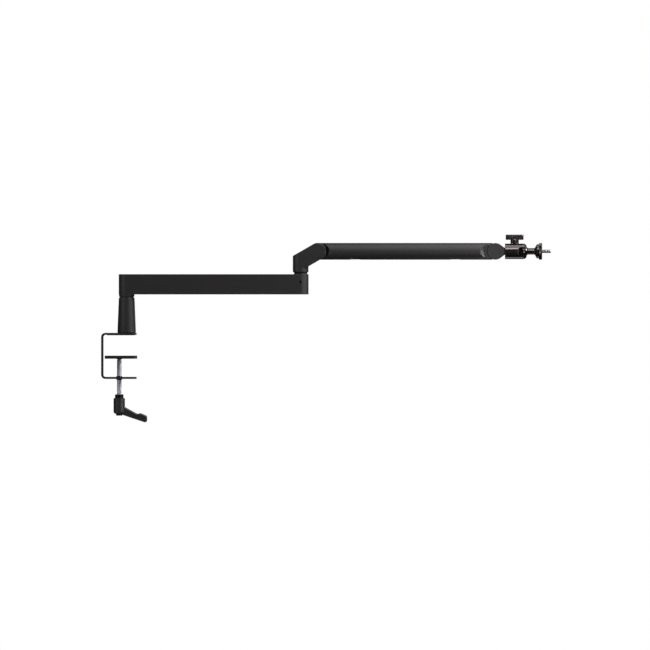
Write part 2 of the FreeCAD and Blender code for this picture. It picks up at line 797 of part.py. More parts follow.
drill(lever, "XY_Plane", "-spline_height", "0", "0", "spline_tip_radius + loose_clearance",
      "lever_chamber_depth - spline_height")
drill(lever, "XY_Plane", "-lever_chamber_depth", "0", "0", "lever_screw_radius + loose_clearance",
      "lever_flange + cut_overrun")
drill(lever, "XY_Plane", "-lever_hub_height - lever_screw_head_height - cut_overrun", "0", "0",
      "lever_recess_radius",
      "lever_hub_height + lever_screw_head_height + cut_overrun - lever_chamber_depth - lever_flange",
      back=True)

# Screw that holds the lever on the insert against its spring.
lever_screw = piece("lever_screw", x="-clamp_screw_offset", z="lever_bottom")
turned(lever_screw, "z", [
    ("0", "-lever_screw_head_height"),
    ("lever_screw_head_radius", "-lever_screw_head_height"),
    ("lever_screw_head_radius", "0"),
    ("lever_screw_radius", "0"),
    ("lever_screw_radius", "lever_hub_height + collar_height - insert_grip"),
    ("0", "lever_hub_height + collar_height - insert_grip"),
])


def coil_wire(radius, low, high, turns):
    """Rising coil about z, drawn as pairs of arcs that meet smoothly, two pairs to a turn."""
    pitch = (high - low) / turns
    count = int(2 * turns)
    knots = []
    for index in range(count + 1):
        spin = FreeCAD.Rotation(FreeCAD.Vector(0, 0, 1), 180 * index)
        place = spin.multVec(FreeCAD.Vector(radius, 0, 0)) + FreeCAD.Vector(0, 0, low + pitch * index / 2)
        heading = spin.multVec(FreeCAD.Vector(0, radius, pitch / 6.283185307179586))
        knots.append((place, heading.normalize()))
    edges = []
    for (start, leave), (end, arrive) in zip(knots, knots[1:]):
        span = end - start
        both = leave + arrive
        lead = 2 - 2 * leave.dot(arrive)
        reach = (((span.dot(both)) ** 2 + lead * span.dot(span)) ** 0.5 - span.dot(both)) / lead
        first = start + leave * reach
        last = end - arrive * reach
        middle = (first + last) / 2
        for tail, apex, tip in ((start, first, middle), (middle, last, end)):
            chord = (tail + tip) / 2
            weight = (tip - tail).Length / 2 / (apex - tail).Length
            crown = (tail + apex * (2 * weight) + tip) / (2 + 2 * weight)
            edges.append(Part.Arc(tail, crown, tip).toShape())
    return Part.Wire(edges)


# Coil spring round that screw, between its head and the flange inside the lever.
SPRING_POINTS = 24
wire_radius = value("lever_spring_wire") / 2
path = coil_wire(value("lever_spring_radius"),
                 value("lever_bottom") + wire_radius + value("running_clearance"),
                 value("spring_seat") - wire_radius - value("running_clearance"),
                 value("lever_spring_turns"))
points = path.discretize(int(SPRING_POINTS * value("lever_spring_turns")))
apart = min(one.distanceToPoint(other) for index, one in enumerate(points)
            for other in points[index + SPRING_POINTS // 2:])
print("lever_spring least gap to itself: %.2f mm" % (apart - 2 * wire_radius))
start = path.Edges[0]
section = Part.Wire(Part.Circle(start.valueAt(start.FirstParameter),
                                start.tangentAt(start.FirstParameter), wire_radius).toShape())
spring = doc.addObject("Part::Feature", "lever_spring")
spring.Label = "lever_spring"
spring.Shape = path.makePipeShell([section], True, False)
put(spring, x="-clamp_screw_offset")
nodes.append(spring)

# Lower arm: a channel with round ends, solid round the post's spigot, with a boss under that end.
arm = piece("lower_arm_channel", z="arm_bottom")
plan = sketch_on(arm, "XY_Plane")
obround(plan, "0", "lower_arm_span", "lower_arm_radius")
extrude(arm, plan, "lower_arm_height")
soften(arm, "Fillet", "lower_arm_edge_radius",
       lambda edge: lies(edge, "z", "0") or lies(edge, "z", "lower_arm_height"))
boss = sketch_on(arm, "XY_Plane")
circle(boss, "0", "0", "arm_boss_radius")
extrude(arm, boss, "arm_boss_height", back=True)
soften(arm, "Chamfer", "arm_boss_chamfer", lambda edge: lies(edge, "z", "-arm_boss_height"))
rebate = sketch_on(arm, "XY_Plane", "lower_arm_height")
outline(rebate, [
    ("0", "-cover_radius", "cover_radius", "ccw"),
    ("cover_end", "-cover_radius"),
    ("cover_end", "cover_radius"),
    ("0", "cover_radius"),
    ("-cover_radius", "0", "cover_radius", "ccw"),
])
extrude(arm, rebate, "cover_thickness", cut=True)
channel = sketch_on(arm, "XY_Plane", "lower_arm_height")
channel_round = [
    ("lower_arm_span", "-channel_half_width"),
    ("lower_arm_span + channel_half_width", "0", "channel_half_width", "ccw"),
    ("lower_arm_span", "channel_half_width", "channel_half_width", "ccw"),
]
outline(channel, [("spigot_block", "-channel_half_width")] + channel_round
        + [("spigot_block", "channel_half_width")])
extrude(arm, channel, "lower_arm_height - channel_floor", cut=True)
drill(arm, "XY_Plane", "-arm_boss_height", "0", "0", "spigot_radius",
      "arm_boss_height + spigot_socket_depth", back=True)
bolt_seat = "spigot_socket_depth + spigot_bolt_web"
drill(arm, "XY_Plane", "lower_arm_height", "0", "0", "spigot_bolt_head_radius + loose_clearance",
      "lower_arm_height - (%s)" % bolt_seat)
drill(arm, "XY_Plane", bolt_seat, "0", "0", "spigot_bolt_radius + loose_clearance",
      "spigot_bolt_web + cut_overrun")
drill(arm, "XY_Plane", "0", "lower_arm_span", "0", "pivot_chamber_radius", "pivot_shoulder", back=True)
drill(arm, "XZ_Plane", "0", "lower_arm_span", "brake_height", "brake_radius", "lower_arm_radius", back=True)

# Block pressed into the other end of the channel, bored for the elbow's bushes; its seat rests on the rim.
block = piece("pivot_block", z="arm_bottom + pivot_shoulder")
plan = sketch_on(block, "XY_Plane")
outline(plan, [("channel_end", "-channel_half_width")] + channel_round
        + [("channel_end", "channel_half_width")])
extrude(block, plan, "lower_arm_height - pivot_shoulder")
seat = sketch_on(block, "XY_Plane", "lower_arm_height - pivot_shoulder")
circle(seat, "lower_arm_span", "0", "elbow_seat_radius")
extrude(block, seat, "elbow_seat_height")
drill(block, "XY_Plane", "0", "lower_arm_span", "0", "elbow_bush_radius",
      "lower_arm_height - pivot_shoulder + elbow_seat_height", back=True)
drill(block, "XZ_Plane", "0", "lower_arm_span", "brake_height - pivot_shoulder", "brake_radius",
      "lower_arm_radius", back=True)

# Shaft that drops into the post, and the bolt that draws it into the arm.
spigot = piece("base_spigot", z="boss_bottom")
spigot_bottom = "spigot_tip_gap + post_floor - post_height - bush_flange_thickness"
bolt_tip = "arm_boss_height + spigot_socket_depth + spigot_bolt_web - spigot_bolt_length"
turned(spigot, "z", [
    ("0", spigot_bottom),
    ("spigot_radius - spigot_chamfer", spigot_bottom),
    ("spigot_radius", spigot_bottom + " + spigot_chamfer"),
    ("spigot_radius", "arm_boss_height + spigot_socket_depth"),
    ("spigot_bolt_radius", "arm_boss_height + spigot_socket_depth"),
    ("spigot_bolt_radius", bolt_tip),
    ("0", bolt_tip),
])
bolt = piece("spigot_bolt", z="arm_bottom + spigot_socket_depth + spigot_bolt_web")
turned(bolt, "z", [
    ("0", "-spigot_bolt_length"),
    ("spigot_bolt_radius", "-spigot_bolt_length"),
    ("spigot_bolt_radius", "0"),
    ("spigot_bolt_head_radius", "0"),
    ("spigot_bolt_head_radius", "spigot_bolt_head_height"),
    ("0", "spigot_bolt_head_height"),
])

# Bushes of the elbow pivot, pressed in from above and below.
upper_bush = piece("elbow_upper_bush", x="lower_arm_span", z="seat_top")
turned(upper_bush, "z", [
    ("pivot_radius + running_clearance", "-elbow_upper_bush_length"),
    ("elbow_bush_radius", "-elbow_upper_bush_length"),
    ("elbow_bush_radius", "0"),
    ("elbow_bush_flange_radius", "0"),
    ("elbow_bush_flange_radius", "bush_flange_thickness"),
    ("pivot_radius + running_clearance", "bush_flange_thickness"),
])
lower_bush = piece("elbow_lower_bush", x="lower_arm_span", z="arm_bottom + pivot_shoulder")
sleeve(lower_bush, "z", "0", "elbow_lower_bush_length", "pivot_radius + running_clearance",
       "elbow_bush_radius")

# Side brake: a grub screw pushes a nylon pad on the pivot.
brake_inner = "brake_screw_depth + brake_screw_length - lower_arm_radius"
brake_screw = piece("friction_screw", x="lower_arm_span", z="arm_bottom + brake_height")
turned(brake_screw, "y", [
    ("brake_screw_depth - lower_arm_radius", "0"),
    (brake_inner, "0"),
    (brake_inner, "brake_radius"),
    ("brake_screw_depth - lower_arm_radius", "brake_radius"),
])
brake_pad = piece("friction_pad", x="lower_arm_span", z="arm_bottom + brake_height")
turned(brake_pad, "y", [
    (brake_inner, "0"),
    ("-pivot_radius - running_clearance", "0"),
    ("-pivot_radius - running_clearance", "brake_radius"),
    (brake_inner, "brake_radius"),
])

# Plug that closes the hole under the pivot.
plug = piece("elbow_plug", x="lower_arm_span", z="arm_bottom")
turned(plug, "z", [
    ("0", "0"),
    ("pivot_chamber_radius", "0"),
    ("pivot_chamber_radius", "elbow_plug_thickness"),
    ("0", "elbow_plug_thickness"),
])

# Lift-off cover of the cable channel, with two long legs and a cable slot at each end.
cover = piece("lower_cover", z="arm_top - cover_thickness")
plan = sketch_on(cover, "XY_Plane")
outline(plan, [
    ("0", "cover_gap - cover_radius", "cover_radius - cover_gap", "ccw"),
    ("cover_end - cover_gap", "cover_gap - cover_radius"),
    ("cover_end - cover_gap", "cover_radius - cover_gap"),
    ("0", "cover_radius - cover_gap"),
    ("cover_gap - cover_radius", "0", "cover_radius - cover_gap", "ccw"),
])
extrude(cover, plan, "cover_thickness")
legs = sketch_on(cover, "XY_Plane")
leg_outside = "channel_half_width - cover_gap"
for sign in ("", "-"):
    rectangle(legs, "spigot_block + cover_leg_inset", "channel_end - cover_leg_inset",
              "%s(%s)" % (sign, leg_outside), "%s(%s - cover_leg_thickness)" % (sign, leg_outside))
extrude(cover, legs, "cover_leg_depth", back=True)
for first in ("spigot_block + cable_slot_inset",
              "channel_end - cable_slot_inset - cable_slot_length + cable_slot_radius"):
    slot = sketch_on(cover, "XY_Plane", "cover_thickness")
    obround(slot, first, first + " + cable_slot_length - 2 * cable_slot_radius", "cable_slot_radius")
    extrude(cover, slot, "cover_thickness", cut=True)

# Cast elbow: a round collar, a flat-sided slope and a fork with two round ears.
elbow = piece("elbow", x="lower_arm_span", z="elbow_bottom")
side = sketch_on(elbow, "XZ_Plane")
outline(side, [
    ("-elbow_radius", "0"),
    ("elbow_radius", "0"),
    ("elbow_radius", "elbow_chin"),
    ("ear_low_x", "ear_low_z"),
    ("ear_high_x", "ear_high_z"),
    ("-elbow_radius", "elbow_nape"),
])
extrude(elbow, side, "2 * elbow_radius", both=True)
ear = sketch_on(elbow, "XZ_Plane")
circle(ear, "hinge_offset", "hinge_height", "ear_radius")
extrude(elbow, ear, "2 * elbow_radius", both=True)
rear_corners = sketch_on(elbow, "XY_Plane")
round_end(rear_corners, "elbow_radius", "-")
extrude(elbow, rear_corners, "hinge_height + ear_radius", cut=True, back=True)
collar_corners = sketch_on(elbow, "XY_Plane")
round_end(collar_corners, "elbow_radius", "+")
extrude(elbow, collar_corners, "elbow_collar_height", cut=True, back=True)
soften(elbow, "Chamfer", "elbow_chamfer", lambda edge: lies(edge, "z", "0"))
soften(elbow, "Fillet", "elbow_edge_radius",
       lambda edge: edge.BoundBox.ZMax > value("elbow_collar_height") + NEAR and edge.BoundBox.YLength > NEAR
       and edge.BoundBox.XMax < NEAR or lies(edge, "y", "+-elbow_radius")
       and edge.BoundBox.ZMin > value("elbow_collar_height") + NEAR)
drill(elbow, "XZ_Plane", "0", "hinge_offset", "hinge_height", "fork_pocket_radius", "2 * ear_inside",
      both=True)
for lift, back in (("elbow_radius", False), ("-elbow_radius", True)):
    drill(elbow, "XZ_Plane", lift, "hinge_offset", "hinge_height", "hinge_cap_radius + running_clearance",
          "hinge_cap_thickness", back=back)
drill(elbow, "XZ_Plane", "elbow_radius", "hinge_offset", "hinge_height", "hinge_counterbore_radius",
      "elbow_radius - axle_head_face")
drill(elbow, "XZ_Plane", "-elbow_radius", "hinge_offset", "hinge_height", "hinge_counterbore_radius",
      "elbow_radius - hinge_spring_face", back=True)
drill(elbow, "XZ_Plane", "0", "hinge_offset", "hinge_height", "axle_radius",
      "2 * elbow_radius", both=True)
drill(elbow, "XY_Plane", "0", "0", "0", "pivot_radius", "pivot_socket_depth", back=True)

# Pivot shaft pressed into the elbow, with the washer and bolt that keep it in the arm.
pivot = piece("elbow_pivot", x="lower_arm_span", z="pivot_bottom")
pivot_length = "elbow_bottom + pivot_socket_depth - pivot_bottom"
turned(pivot, "z", [
    ("pivot_bolt_radius", "0"),
    ("pivot_radius - pivot_chamfer", "0"),
    ("pivot_radius", "pivot_chamfer"),
    ("pivot_radius", pivot_length),
    ("0", pivot_length),
    ("0", "pivot_bolt_length - pivot_washer_thickness"),
    ("pivot_bolt_radius", "pivot_bolt_length - pivot_washer_thickness"),
])
washer = piece("pivot_washer", x="lower_arm_span", z="pivot_bottom")
sleeve(washer, "z", "-pivot_washer_thickness", "0", "pivot_bolt_radius + loose_clearance",
       "pivot_washer_radius")
bolt = piece("pivot_bolt", x="lower_arm_span", z="pivot_bottom - pivot_washer_thickness")
turned(bolt, "z", [
    ("0", "-pivot_bolt_head_height"),
    ("pivot_bolt_head_radius", "-pivot_bolt_head_height"),
    ("pivot_bolt_head_radius", "0"),
    ("pivot_bolt_radius", "0"),
    ("pivot_bolt_radius", "pivot_bolt_length"),
    ("0", "pivot_bolt_length"),
])

# Friction hinge of the elbow: axle from the front, disc spring and nut at the back.
axle = piece("hinge_axle", x="hinge_x", z="hinge_z")
axle_end = "hinge_spring_face + hinge_spring_thickness + hinge_spring_rise + hinge_nut_height"
turned(axle, "y", [
    ("-axle_head_face - axle_head_height", "0"),
    (axle_end, "0"),
    (axle_end, "axle_radius"),
    ("-axle_head_face", "axle_radius"),
    ("-axle_head_face", "axle_head_radius"),
    ("-axle_head_face - axle_head_height", "axle_head_radius"),
])
spring = piece("hinge_spring", x="hinge_x", z="hinge_z")
turned(spring, "y", [
    ("hinge_spring_face", "hinge_spring_radius"),
    ("hinge_spring_face + hinge_spring_rise", "axle_radius + loose_clearance"),
    ("hinge_spring_face + hinge_spring_rise + hinge_spring_thickness", "axle_radius + loose_clearance"),
    ("hinge_spring_face + hinge_spring_thickness", "hinge_spring_radius"),
])
nut = piece("hinge_nut", x="hinge_x", z="hinge_z")
hexagon = sketch_on(nut, "XZ_Plane", "hinge_nut_height - (%s)" % axle_end)
outline(hexagon, ring_points(6, ["hinge_nut_radius"]))
circle(hexagon, "0", "0", "axle_radius")
extrude(nut, hexagon, "hinge_nut_height", back=True)
washers = []
caps = []
for number, sign in ((1, "-"), (2, "")):
    washer = piece("hinge_washer_%d" % number, x="hinge_x", z="hinge_z", kept=False)
    sleeve(washer, "y", sign + "tongue_width / 2", sign + "ear_inside", "axle_radius + running_clearance",
           "hinge_washer_radius")
    washers.append(washer)
    cap = piece("hinge_cap_%d" % number, x="hinge_x", z="hinge_z", kept=False)
    turned(cap, "y", [
        ("%s(elbow_radius - hinge_cap_thickness)" % sign, "0"),
        ("%selbow_radius" % sign, "0"),
        ("%selbow_radius" % sign, "hinge_cap_radius - hinge_cap_chamfer"),
        ("%s(elbow_radius - hinge_cap_chamfer)" % sign, "hinge_cap_radius"),
        ("%s(elbow_radius - hinge_cap_thickness)" % sign, "hinge_cap_radius"),
    ])
    caps.append(cap)
group("hinge_washers", washers)
group("hinge_caps", caps)

# Rear end of the upper arm: a plug in the tube and a tongue in the elbow's fork.
rear = piece("elbow_end_fitting", x="hinge_x", z="hinge_z")
turned(rear, "x", [
    ("-tube_radius", "0"),
    ("rear_collar + plug_length", "0"),
    ("rear_collar + plug_length", "tube_bore_radius"),
    ("rear_collar", "tube_bore_radius"),
    ("rear_collar", "tube_radius"),
    ("-tube_radius", "tube_radius"),
])
for lift, back in (("tongue_width / 2", True), ("-tongue_width / 2", False)):
    drill(rear, "XZ_Plane", lift, "0", "0", "rear_recess_radius", "tube_radius", back=back)
tip = sketch_on(rear, "XZ_Plane")
round_end(tip, "tube_radius", "-")
extrude(rear, tip, "2 * tube_radius", cut=True, both=True)
for sign, turn in (("", "cw"), ("-", "ccw")):
    turned(rear, "y", [
        ("%s(tube_radius - rear_bevel_depth)" % sign, "rear_recess_radius", "rear_bevel_curve", turn),
        ("%s(tube_radius + cut_overrun)" % sign, "rear_recess_radius"),
        ("%s(tube_radius + cut_overrun)" % sign, "rear_bevel_radius"),
        ("%stube_radius" % sign, "rear_bevel_radius"),
    ], cut=True)
drill(rear, "XZ_Plane", "0", "0", "0", "hinge_bush_radius", "2 * tube_radius", both=True)

# Front end of the upper arm: flattened cheeks, a hollow for the knuckle disc, and a narrow tongue on a web.
front = piece("head_end_fitting", x="head_x", z="hinge_z")
turned(front, "x", [
    ("-front_collar - plug_length", "0"),
    ("-head_horn_inset", "0"),
    ("-head_horn_inset", "tube_radius"),
    ("-front_collar", "tube_radius"),
    ("-front_collar", "tube_bore_radius"),
    ("-front_collar - plug_length", "tube_bore_radius"),
])
for lift, back in (("head_ear_outside", True), ("-head_ear_outside", False)):
    drill(front, "XZ_Plane", lift, "0", "0", "head_cheek_radius", "tube_radius", back=back)
for sign in ("", "-"):
    turned(front, "y", [
        ("%shead_ear_outside" % sign, "head_cheek_radius"),
        ("%s(tube_radius + cut_overrun)" % sign, "head_cheek_radius"),
        ("%s(tube_radius + cut_overrun)" % sign, "head_bevel_radius"),
        ("%stube_radius" % sign, "head_bevel_radius"),
    ], cut=True)
drill(front, "XZ_Plane", "0", "0", "0", "head_recess_radius", "2 * tube_radius", both=True)
tongue = sketch_on(front, "XZ_Plane")
outline(tongue, [
    ("-head_recess_radius - head_horn_inset", "-head_web_height"),
    ("-head_horn_inset", "-head_web_height"),
    ("-head_horn_inset", "-head_tongue_radius"),
    ("0", "-head_tongue_radius"),
    ("head_tongue_radius", "0", "head_tongue_radius", "ccw"),
    ("0", "head_tongue_radius", "head_tongue_radius", "ccw"),
    ("-head_horn_inset", "head_tongue_radius"),
    ("-head_horn_inset", "head_web_height"),
    ("-head_recess_radius - head_horn_inset", "head_web_height"),
])
extrude(front, tongue, "head_tongue_width", both=True)
drill(front, "XZ_Plane", "0", "0", "0", "head_bush_radius", "2 * head_tongue_width", both=True)

# Bushes pressed into the two tongues.
bush = piece("hinge_bush", x="hinge_x", z="hinge_z")
sleeve(bush, "y", "-tongue_width / 2", "tongue_width / 2", "axle_radius + running_clearance",
       "hinge_bush_radius")
bush = piece("head_bush", x="head_x", z="hinge_z")
sleeve(bush, "y", "-head_tongue_width / 2", "head_tongue_width / 2",
       "head_axle_radius + running_clearance", "head_bush_radius")

# Round tube of the upper arm, with a cable window underneath and screws into both fittings.
tube = piece("upper_tube", x="hinge_x", z="hinge_z")
sleeve(tube, "x", "rear_collar", "tube_end", "tube_bore_radius", "tube_radius")
window = sketch_on(tube, "XY_Plane")
rectangle(window, "window_start", "window_end", "-window_width / 2", "window_width / 2")
extrude(tube, window, "tube_radius", cut=True)
screw_head_seat = "tube_screw_head_height - tube_radius"
screw_tip = "tube_screw_length - tube_radius"
screws = []
for number in range(4):
    inset = "(tube_screw_inset + %d * tube_screw_spacing)" % (number % 2)
    x = "rear_collar + " + inset if number < 2 else "tube_end - " + inset
    fitting_x = x if number < 2 else "-front_collar - " + inset
    drill(tube, "XY_Plane", screw_tip, x, "0", "tube_screw_radius", "tube_screw_length")
    drill(tube, "XY_Plane", screw_head_seat, x, "0", "tube_screw_head_radius + loose_clearance",
          "tube_screw_head_height")
    drill(rear if number < 2 else front, "XY_Plane", screw_tip, fitting_x, "0", "tube_screw_radius",
          "tube_screw_length")
    screw = piece("tube_screw_%d" % (number + 1), x="hinge_x + " + x, z="hinge_z", kept=False)
    turned(screw, "z", [
        ("0", "-tube_radius"),
        ("tube_screw_head_radius", "-tube_radius"),
        ("tube_screw_head_radius", screw_head_seat),
        ("tube_screw_radius", screw_head_seat),
        ("tube_screw_radius", screw_tip),
        ("0", screw_tip),
    ])
    screws.append(screw)
group("tube_screws", screws)

# Snap-in cover of the cable window: a strip of the same curve with two legs.
cover = piece("upper_cover", x="hinge_x", z="hinge_z")
half = "(window_width / 2 - cover_gap)"
strip = sketch_on(cover, "YZ_Plane", "window_start + cover_gap")
outline(strip, [
    ("-" + half, "-sqrt(tube_bore_radius ^ 2 - %s ^ 2)" % half, "tube_bore_radius", "cw"),
    ("-" + half, "-sqrt(tube_radius ^ 2 - %s ^ 2)" % half),
    (half, "-sqrt(tube_radius ^ 2 - %s ^ 2)" % half, "tube_radius", "ccw"),
    (half, "-sqrt(tube_bore_radius ^ 2 - %s ^ 2)" % half),
])
extrude(cover, strip, "window_end - window_start - 2 * cover_gap")
legs = sketch_on(cover, "YZ_Plane", "window_start + upper_leg_inset")
leg_foot = "-sqrt(tube_radius ^ 2 - %s ^ 2)" % half
for sign in ("", "-"):
    rectangle(legs, "%s(%s - upper_leg_thickness)" % (sign, half), "%s%s" % (sign, half),
              leg_foot, leg_foot + " + upper_leg_depth")
extrude(cover, legs, "window_end - window_start - 2 * upper_leg_inset")
for first, last in (("window_start", "window_start + upper_slot_length"),
                    ("window_end - upper_slot_length", "window_end")):
    slot = sketch_on(cover, "XY_Plane")
    obround(slot, first, last, "upper_slot_radius")
    extrude(cover, slot, "tube_radius", cut=True)

# Tilting knuckle of the head: a slotted disc that runs out in straight flanks to a short nose.
knuckle = piece("head_knuckle", x="head_x", z="hinge_z")
teardrop = sketch_on(knuckle, "XZ_Plane")
outline(teardrop, [
    ("head_nose_reach", "-head_nose_half_height"),
    ("head_nose_reach", "head_nose_half_height"),
    ("nose_tangent_x", "nose_tangent_z"),
    ("-head_disc_radius", "0", "head_disc_radius", "ccw"),
    ("nose_tangent_x", "-nose_tangent_z", "head_disc_radius", "ccw"),
])
extrude(knuckle, teardrop, "head_disc_width", both=True)
soften(knuckle, "Chamfer", "head_disc_chamfer",
       lambda edge: lies(edge, "y", "+-head_ear_outside") and not lies(edge, "x", "head_nose_reach"))
slot = sketch_on(knuckle, "XZ_Plane")
rectangle(slot, "-head_disc_radius - cut_overrun", "head_slot_depth",
          "-head_disc_radius - cut_overrun", "head_disc_radius + cut_overrun")
extrude(knuckle, slot, "2 * head_ear_inside", cut=True, both=True)
drill(knuckle, "YZ_Plane", "head_nose_reach", "0", "0", "head_stud_radius", "head_stud_bite")
drill(knuckle, "XZ_Plane", "-head_ear_outside", "0", "0", "head_axle_radius",
      "head_ear_outside + head_ear_inside + head_axle_bite", back=True)
drill(knuckle, "XZ_Plane", "-head_ear_outside", "0", "0", "head_counterbore_radius",
      "head_ear_outside - head_spring_face", back=True)
drill(knuckle, "XZ_Plane", "-head_ear_outside", "0", "0", "head_cap_radius + running_clearance",
      "head_cap_thickness", back=True)

# Friction hinge of the head, put in from the back.
axle = piece("head_axle", x="head_x", z="hinge_z")
head_low = "head_spring_face + head_spring_thickness + head_spring_rise"
turned(axle, "y", [
    ("-head_ear_inside - head_axle_bite", "0"),
    (head_low + " + head_axle_head_height", "0"),
    (head_low + " + head_axle_head_height", "head_axle_head_radius"),
    (head_low, "head_axle_head_radius"),
    (head_low, "head_axle_radius"),
    ("-head_ear_inside - head_axle_bite", "head_axle_radius"),
])
spring = piece("head_spring", x="head_x", z="hinge_z")
turned(spring, "y", [
    ("head_spring_face", "head_spring_radius"),
    ("head_spring_face + head_spring_rise", "head_axle_radius + loose_clearance"),
    ("head_spring_face + head_spring_rise + head_spring_thickness", "head_axle_radius + loose_clearance"),
    ("head_spring_face + head_spring_thickness", "head_spring_radius"),
])
washers = []
for number, sign in ((1, "-"), (2, "")):
    washer = piece("head_washer_%d" % number, x="head_x", z="hinge_z", kept=False)
    sleeve(washer, "y", sign + "head_tongue_width / 2", sign + "head_ear_inside",
           "head_axle_radius + running_clearance", "head_washer_radius")
    washers.append(washer)
group("head_washers", washers)
cap = piece("head_cap", x="head_x", z="hinge_z")
turned(cap, "y", [
    ("head_ear_outside - head_cap_thickness", "0"),
    ("head_ear_outside", "0"),
    ("head_ear_outside", "head_cap_radius"),
    ("head_ear_outside - head_cap_thickness", "head_cap_radius"),
])
stud = piece("head_stud", x="head_x + head_nose_reach", z="hinge_z")
turned(stud, "x", [
    ("-head_stud_bite", "0"),
    ("head_stud_length - head_stud_bite", "0"),
    ("head_stud_length - head_stud_bite", "head_stud_radius"),
    ("-head_stud_bite", "head_stud_radius"),
])

# Ball head housing: a domed barrel with a seat for the ball and a slot for the stem.
housing = piece("ball_housing", x="ball_x", z="hinge_z")
dome_floor = "(housing_radius - housing_dome_radius)"
turned(housing, "x", [
    ("housing_back", "housing_bore_radius"),
    ("0", "housing_bore_radius"),
    ("0", "ball_seat_radius"),
    ("sqrt(ball_seat_radius ^ 2 - ball_lip_radius ^ 2)", "ball_lip_radius", "ball_seat_radius", "cw"),
    ("housing_front - housing_dome_radius + sqrt(housing_dome_radius ^ 2 - (ball_mouth_radius - %s) ^ 2)"
     % dome_floor, "ball_mouth_radius"),
    ("housing_front - housing_dome_radius", "housing_radius", "housing_dome_radius", "ccw"),
    ("housing_back + housing_chamfer", "housing_radius"),
    ("housing_back", "housing_radius - housing_chamfer"),
])
slot = sketch_on(housing, "XZ_Plane")
outline(slot, [
    ("-ball_slot_inset", "-ball_slot_radius", "ball_slot_radius", "ccw"),
    ("housing_front + cut_overrun", "-ball_slot_radius"),
    ("housing_front + cut_overrun", "ball_slot_radius"),
    ("-ball_slot_inset", "ball_slot_radius"),
    ("-ball_slot_inset - ball_slot_radius", "0", "ball_slot_radius", "ccw"),
])
extrude(housing, slot, "housing_radius", cut=True, back=True)
drill(housing, "XY_Plane", "0", "-knob_offset", "0", "knob_screw_radius + running_clearance",
      "housing_radius", back=True)

# Base screwed into the back of the housing; it turns on the stud of the knuckle.
base = piece("housing_base", x="ball_x", z="hinge_z")
stud_hole_end = "housing_back + head_stud_length - head_stud_bite + loose_clearance"
turned(base, "x", [
    ("housing_back", "head_stud_radius + running_clearance"),
    (stud_hole_end, "head_stud_radius + running_clearance"),
    (stud_hole_end, "0"),
    ("housing_back + base_length", "0"),
    ("housing_back + base_length", "housing_bore_radius"),
    ("housing_back", "housing_bore_radius"),
])

# Plastic cup that the knob's screw presses on the ball.
cup = piece("ball_cup", x="ball_x", z="hinge_z")
turned(cup, "x", [
    ("-cup_face - cup_length", "0"),
    ("-ball_seat_radius", "0"),
    ("-cup_face", "sqrt(ball_seat_radius ^ 2 - cup_face ^ 2)", "ball_seat_radius", "cw"),
    ("-cup_face", "housing_bore_radius - cup_clearance"),
    ("-cup_face - cup_length", "housing_bore_radius - cup_clearance"),
])
drill(cup, "XY_Plane", "knob_screw_tip - cup_pocket_gap", "-knob_offset", "0",
      "knob_screw_radius + cup_pocket_gap", "housing_bore_radius", back=True)

# Locking knob: a ribbed bar on a round stem, moulded on its screw.
knob = piece("knob_grip", x="ball_x - knob_offset", z="hinge_z")
bar = sketch_on(knob, "XY_Plane", "knob_bar_bottom")
obround(bar, "(knob_bar_width - knob_bar_length) / 2", "(knob_bar_length - knob_bar_width) / 2",
        "knob_bar_width / 2")
extrude(knob, bar, "knob_bar_height")
soften(knob, "Fillet", "knob_edge_radius",
       lambda edge: lies(edge, "z", "knob_bar_bottom")
       or lies(edge, "z", "knob_bar_bottom + knob_bar_height"))
ribs = sketch_on(knob, "XY_Plane", "knob_bar_bottom")
rib_count = int(value("knob_rib_count"))
for number in range(rib_count):
    x = "(%d - (knob_rib_count - 1) / 2) * knob_rib_pitch" % number
    for sign in ("", "-"):
        circle(ribs, x, "%s(knob_bar_width / 2 + knob_rib_radius - knob_rib_depth)" % sign, "knob_rib_radius")
extrude(knob, ribs, "knob_bar_height", cut=True, back=True)
stem = sketch_on(knob, "XY_Plane", "knob_stem_bottom")
circle(stem, "0", "0", "knob_stem_radius")
extrude(knob, stem, "knob_bar_bottom - knob_stem_bottom")
drill(knob, "XY_Plane", "knob_stem_bottom", "0", "0", "knob_screw_radius",
      "knob_screw_top - knob_stem_bottom", back=True)
screw = piece("knob_screw", x="ball_x - knob_offset", z="hinge_z")
turned(screw, "z", [
    ("0", "knob_screw_tip"),
    ("knob_tip_radius", "knob_screw_tip"),
    ("knob_screw_radius", "knob_screw_tip + knob_tip_height"),
    ("knob_screw_radius", "knob_screw_top"),
    ("0", "knob_screw_top"),
])

# Ball with its stem and flared flange, turned in one.
ball = piece("ball_stud", x="ball_x", z="hinge_z")
root_hole = "mic_stud_root_radius + running_clearance"
turned(ball, "x", [
    ("-ball_radius", "0", "ball_radius", "ccw"),
    ("flange_reach - mic_stud_root_length", "0"),
    ("flange_reach - mic_stud_root_length", root_hole),
    ("flange_reach", root_hole),
    ("flange_reach", "flare_radius"),
    ("flare_reach", "flare_radius"),
    ("stem_reach", "stem_radius"),
    ("sqrt(ball_radius ^ 2 - stem_radius ^ 2)", "stem_radius"),
])

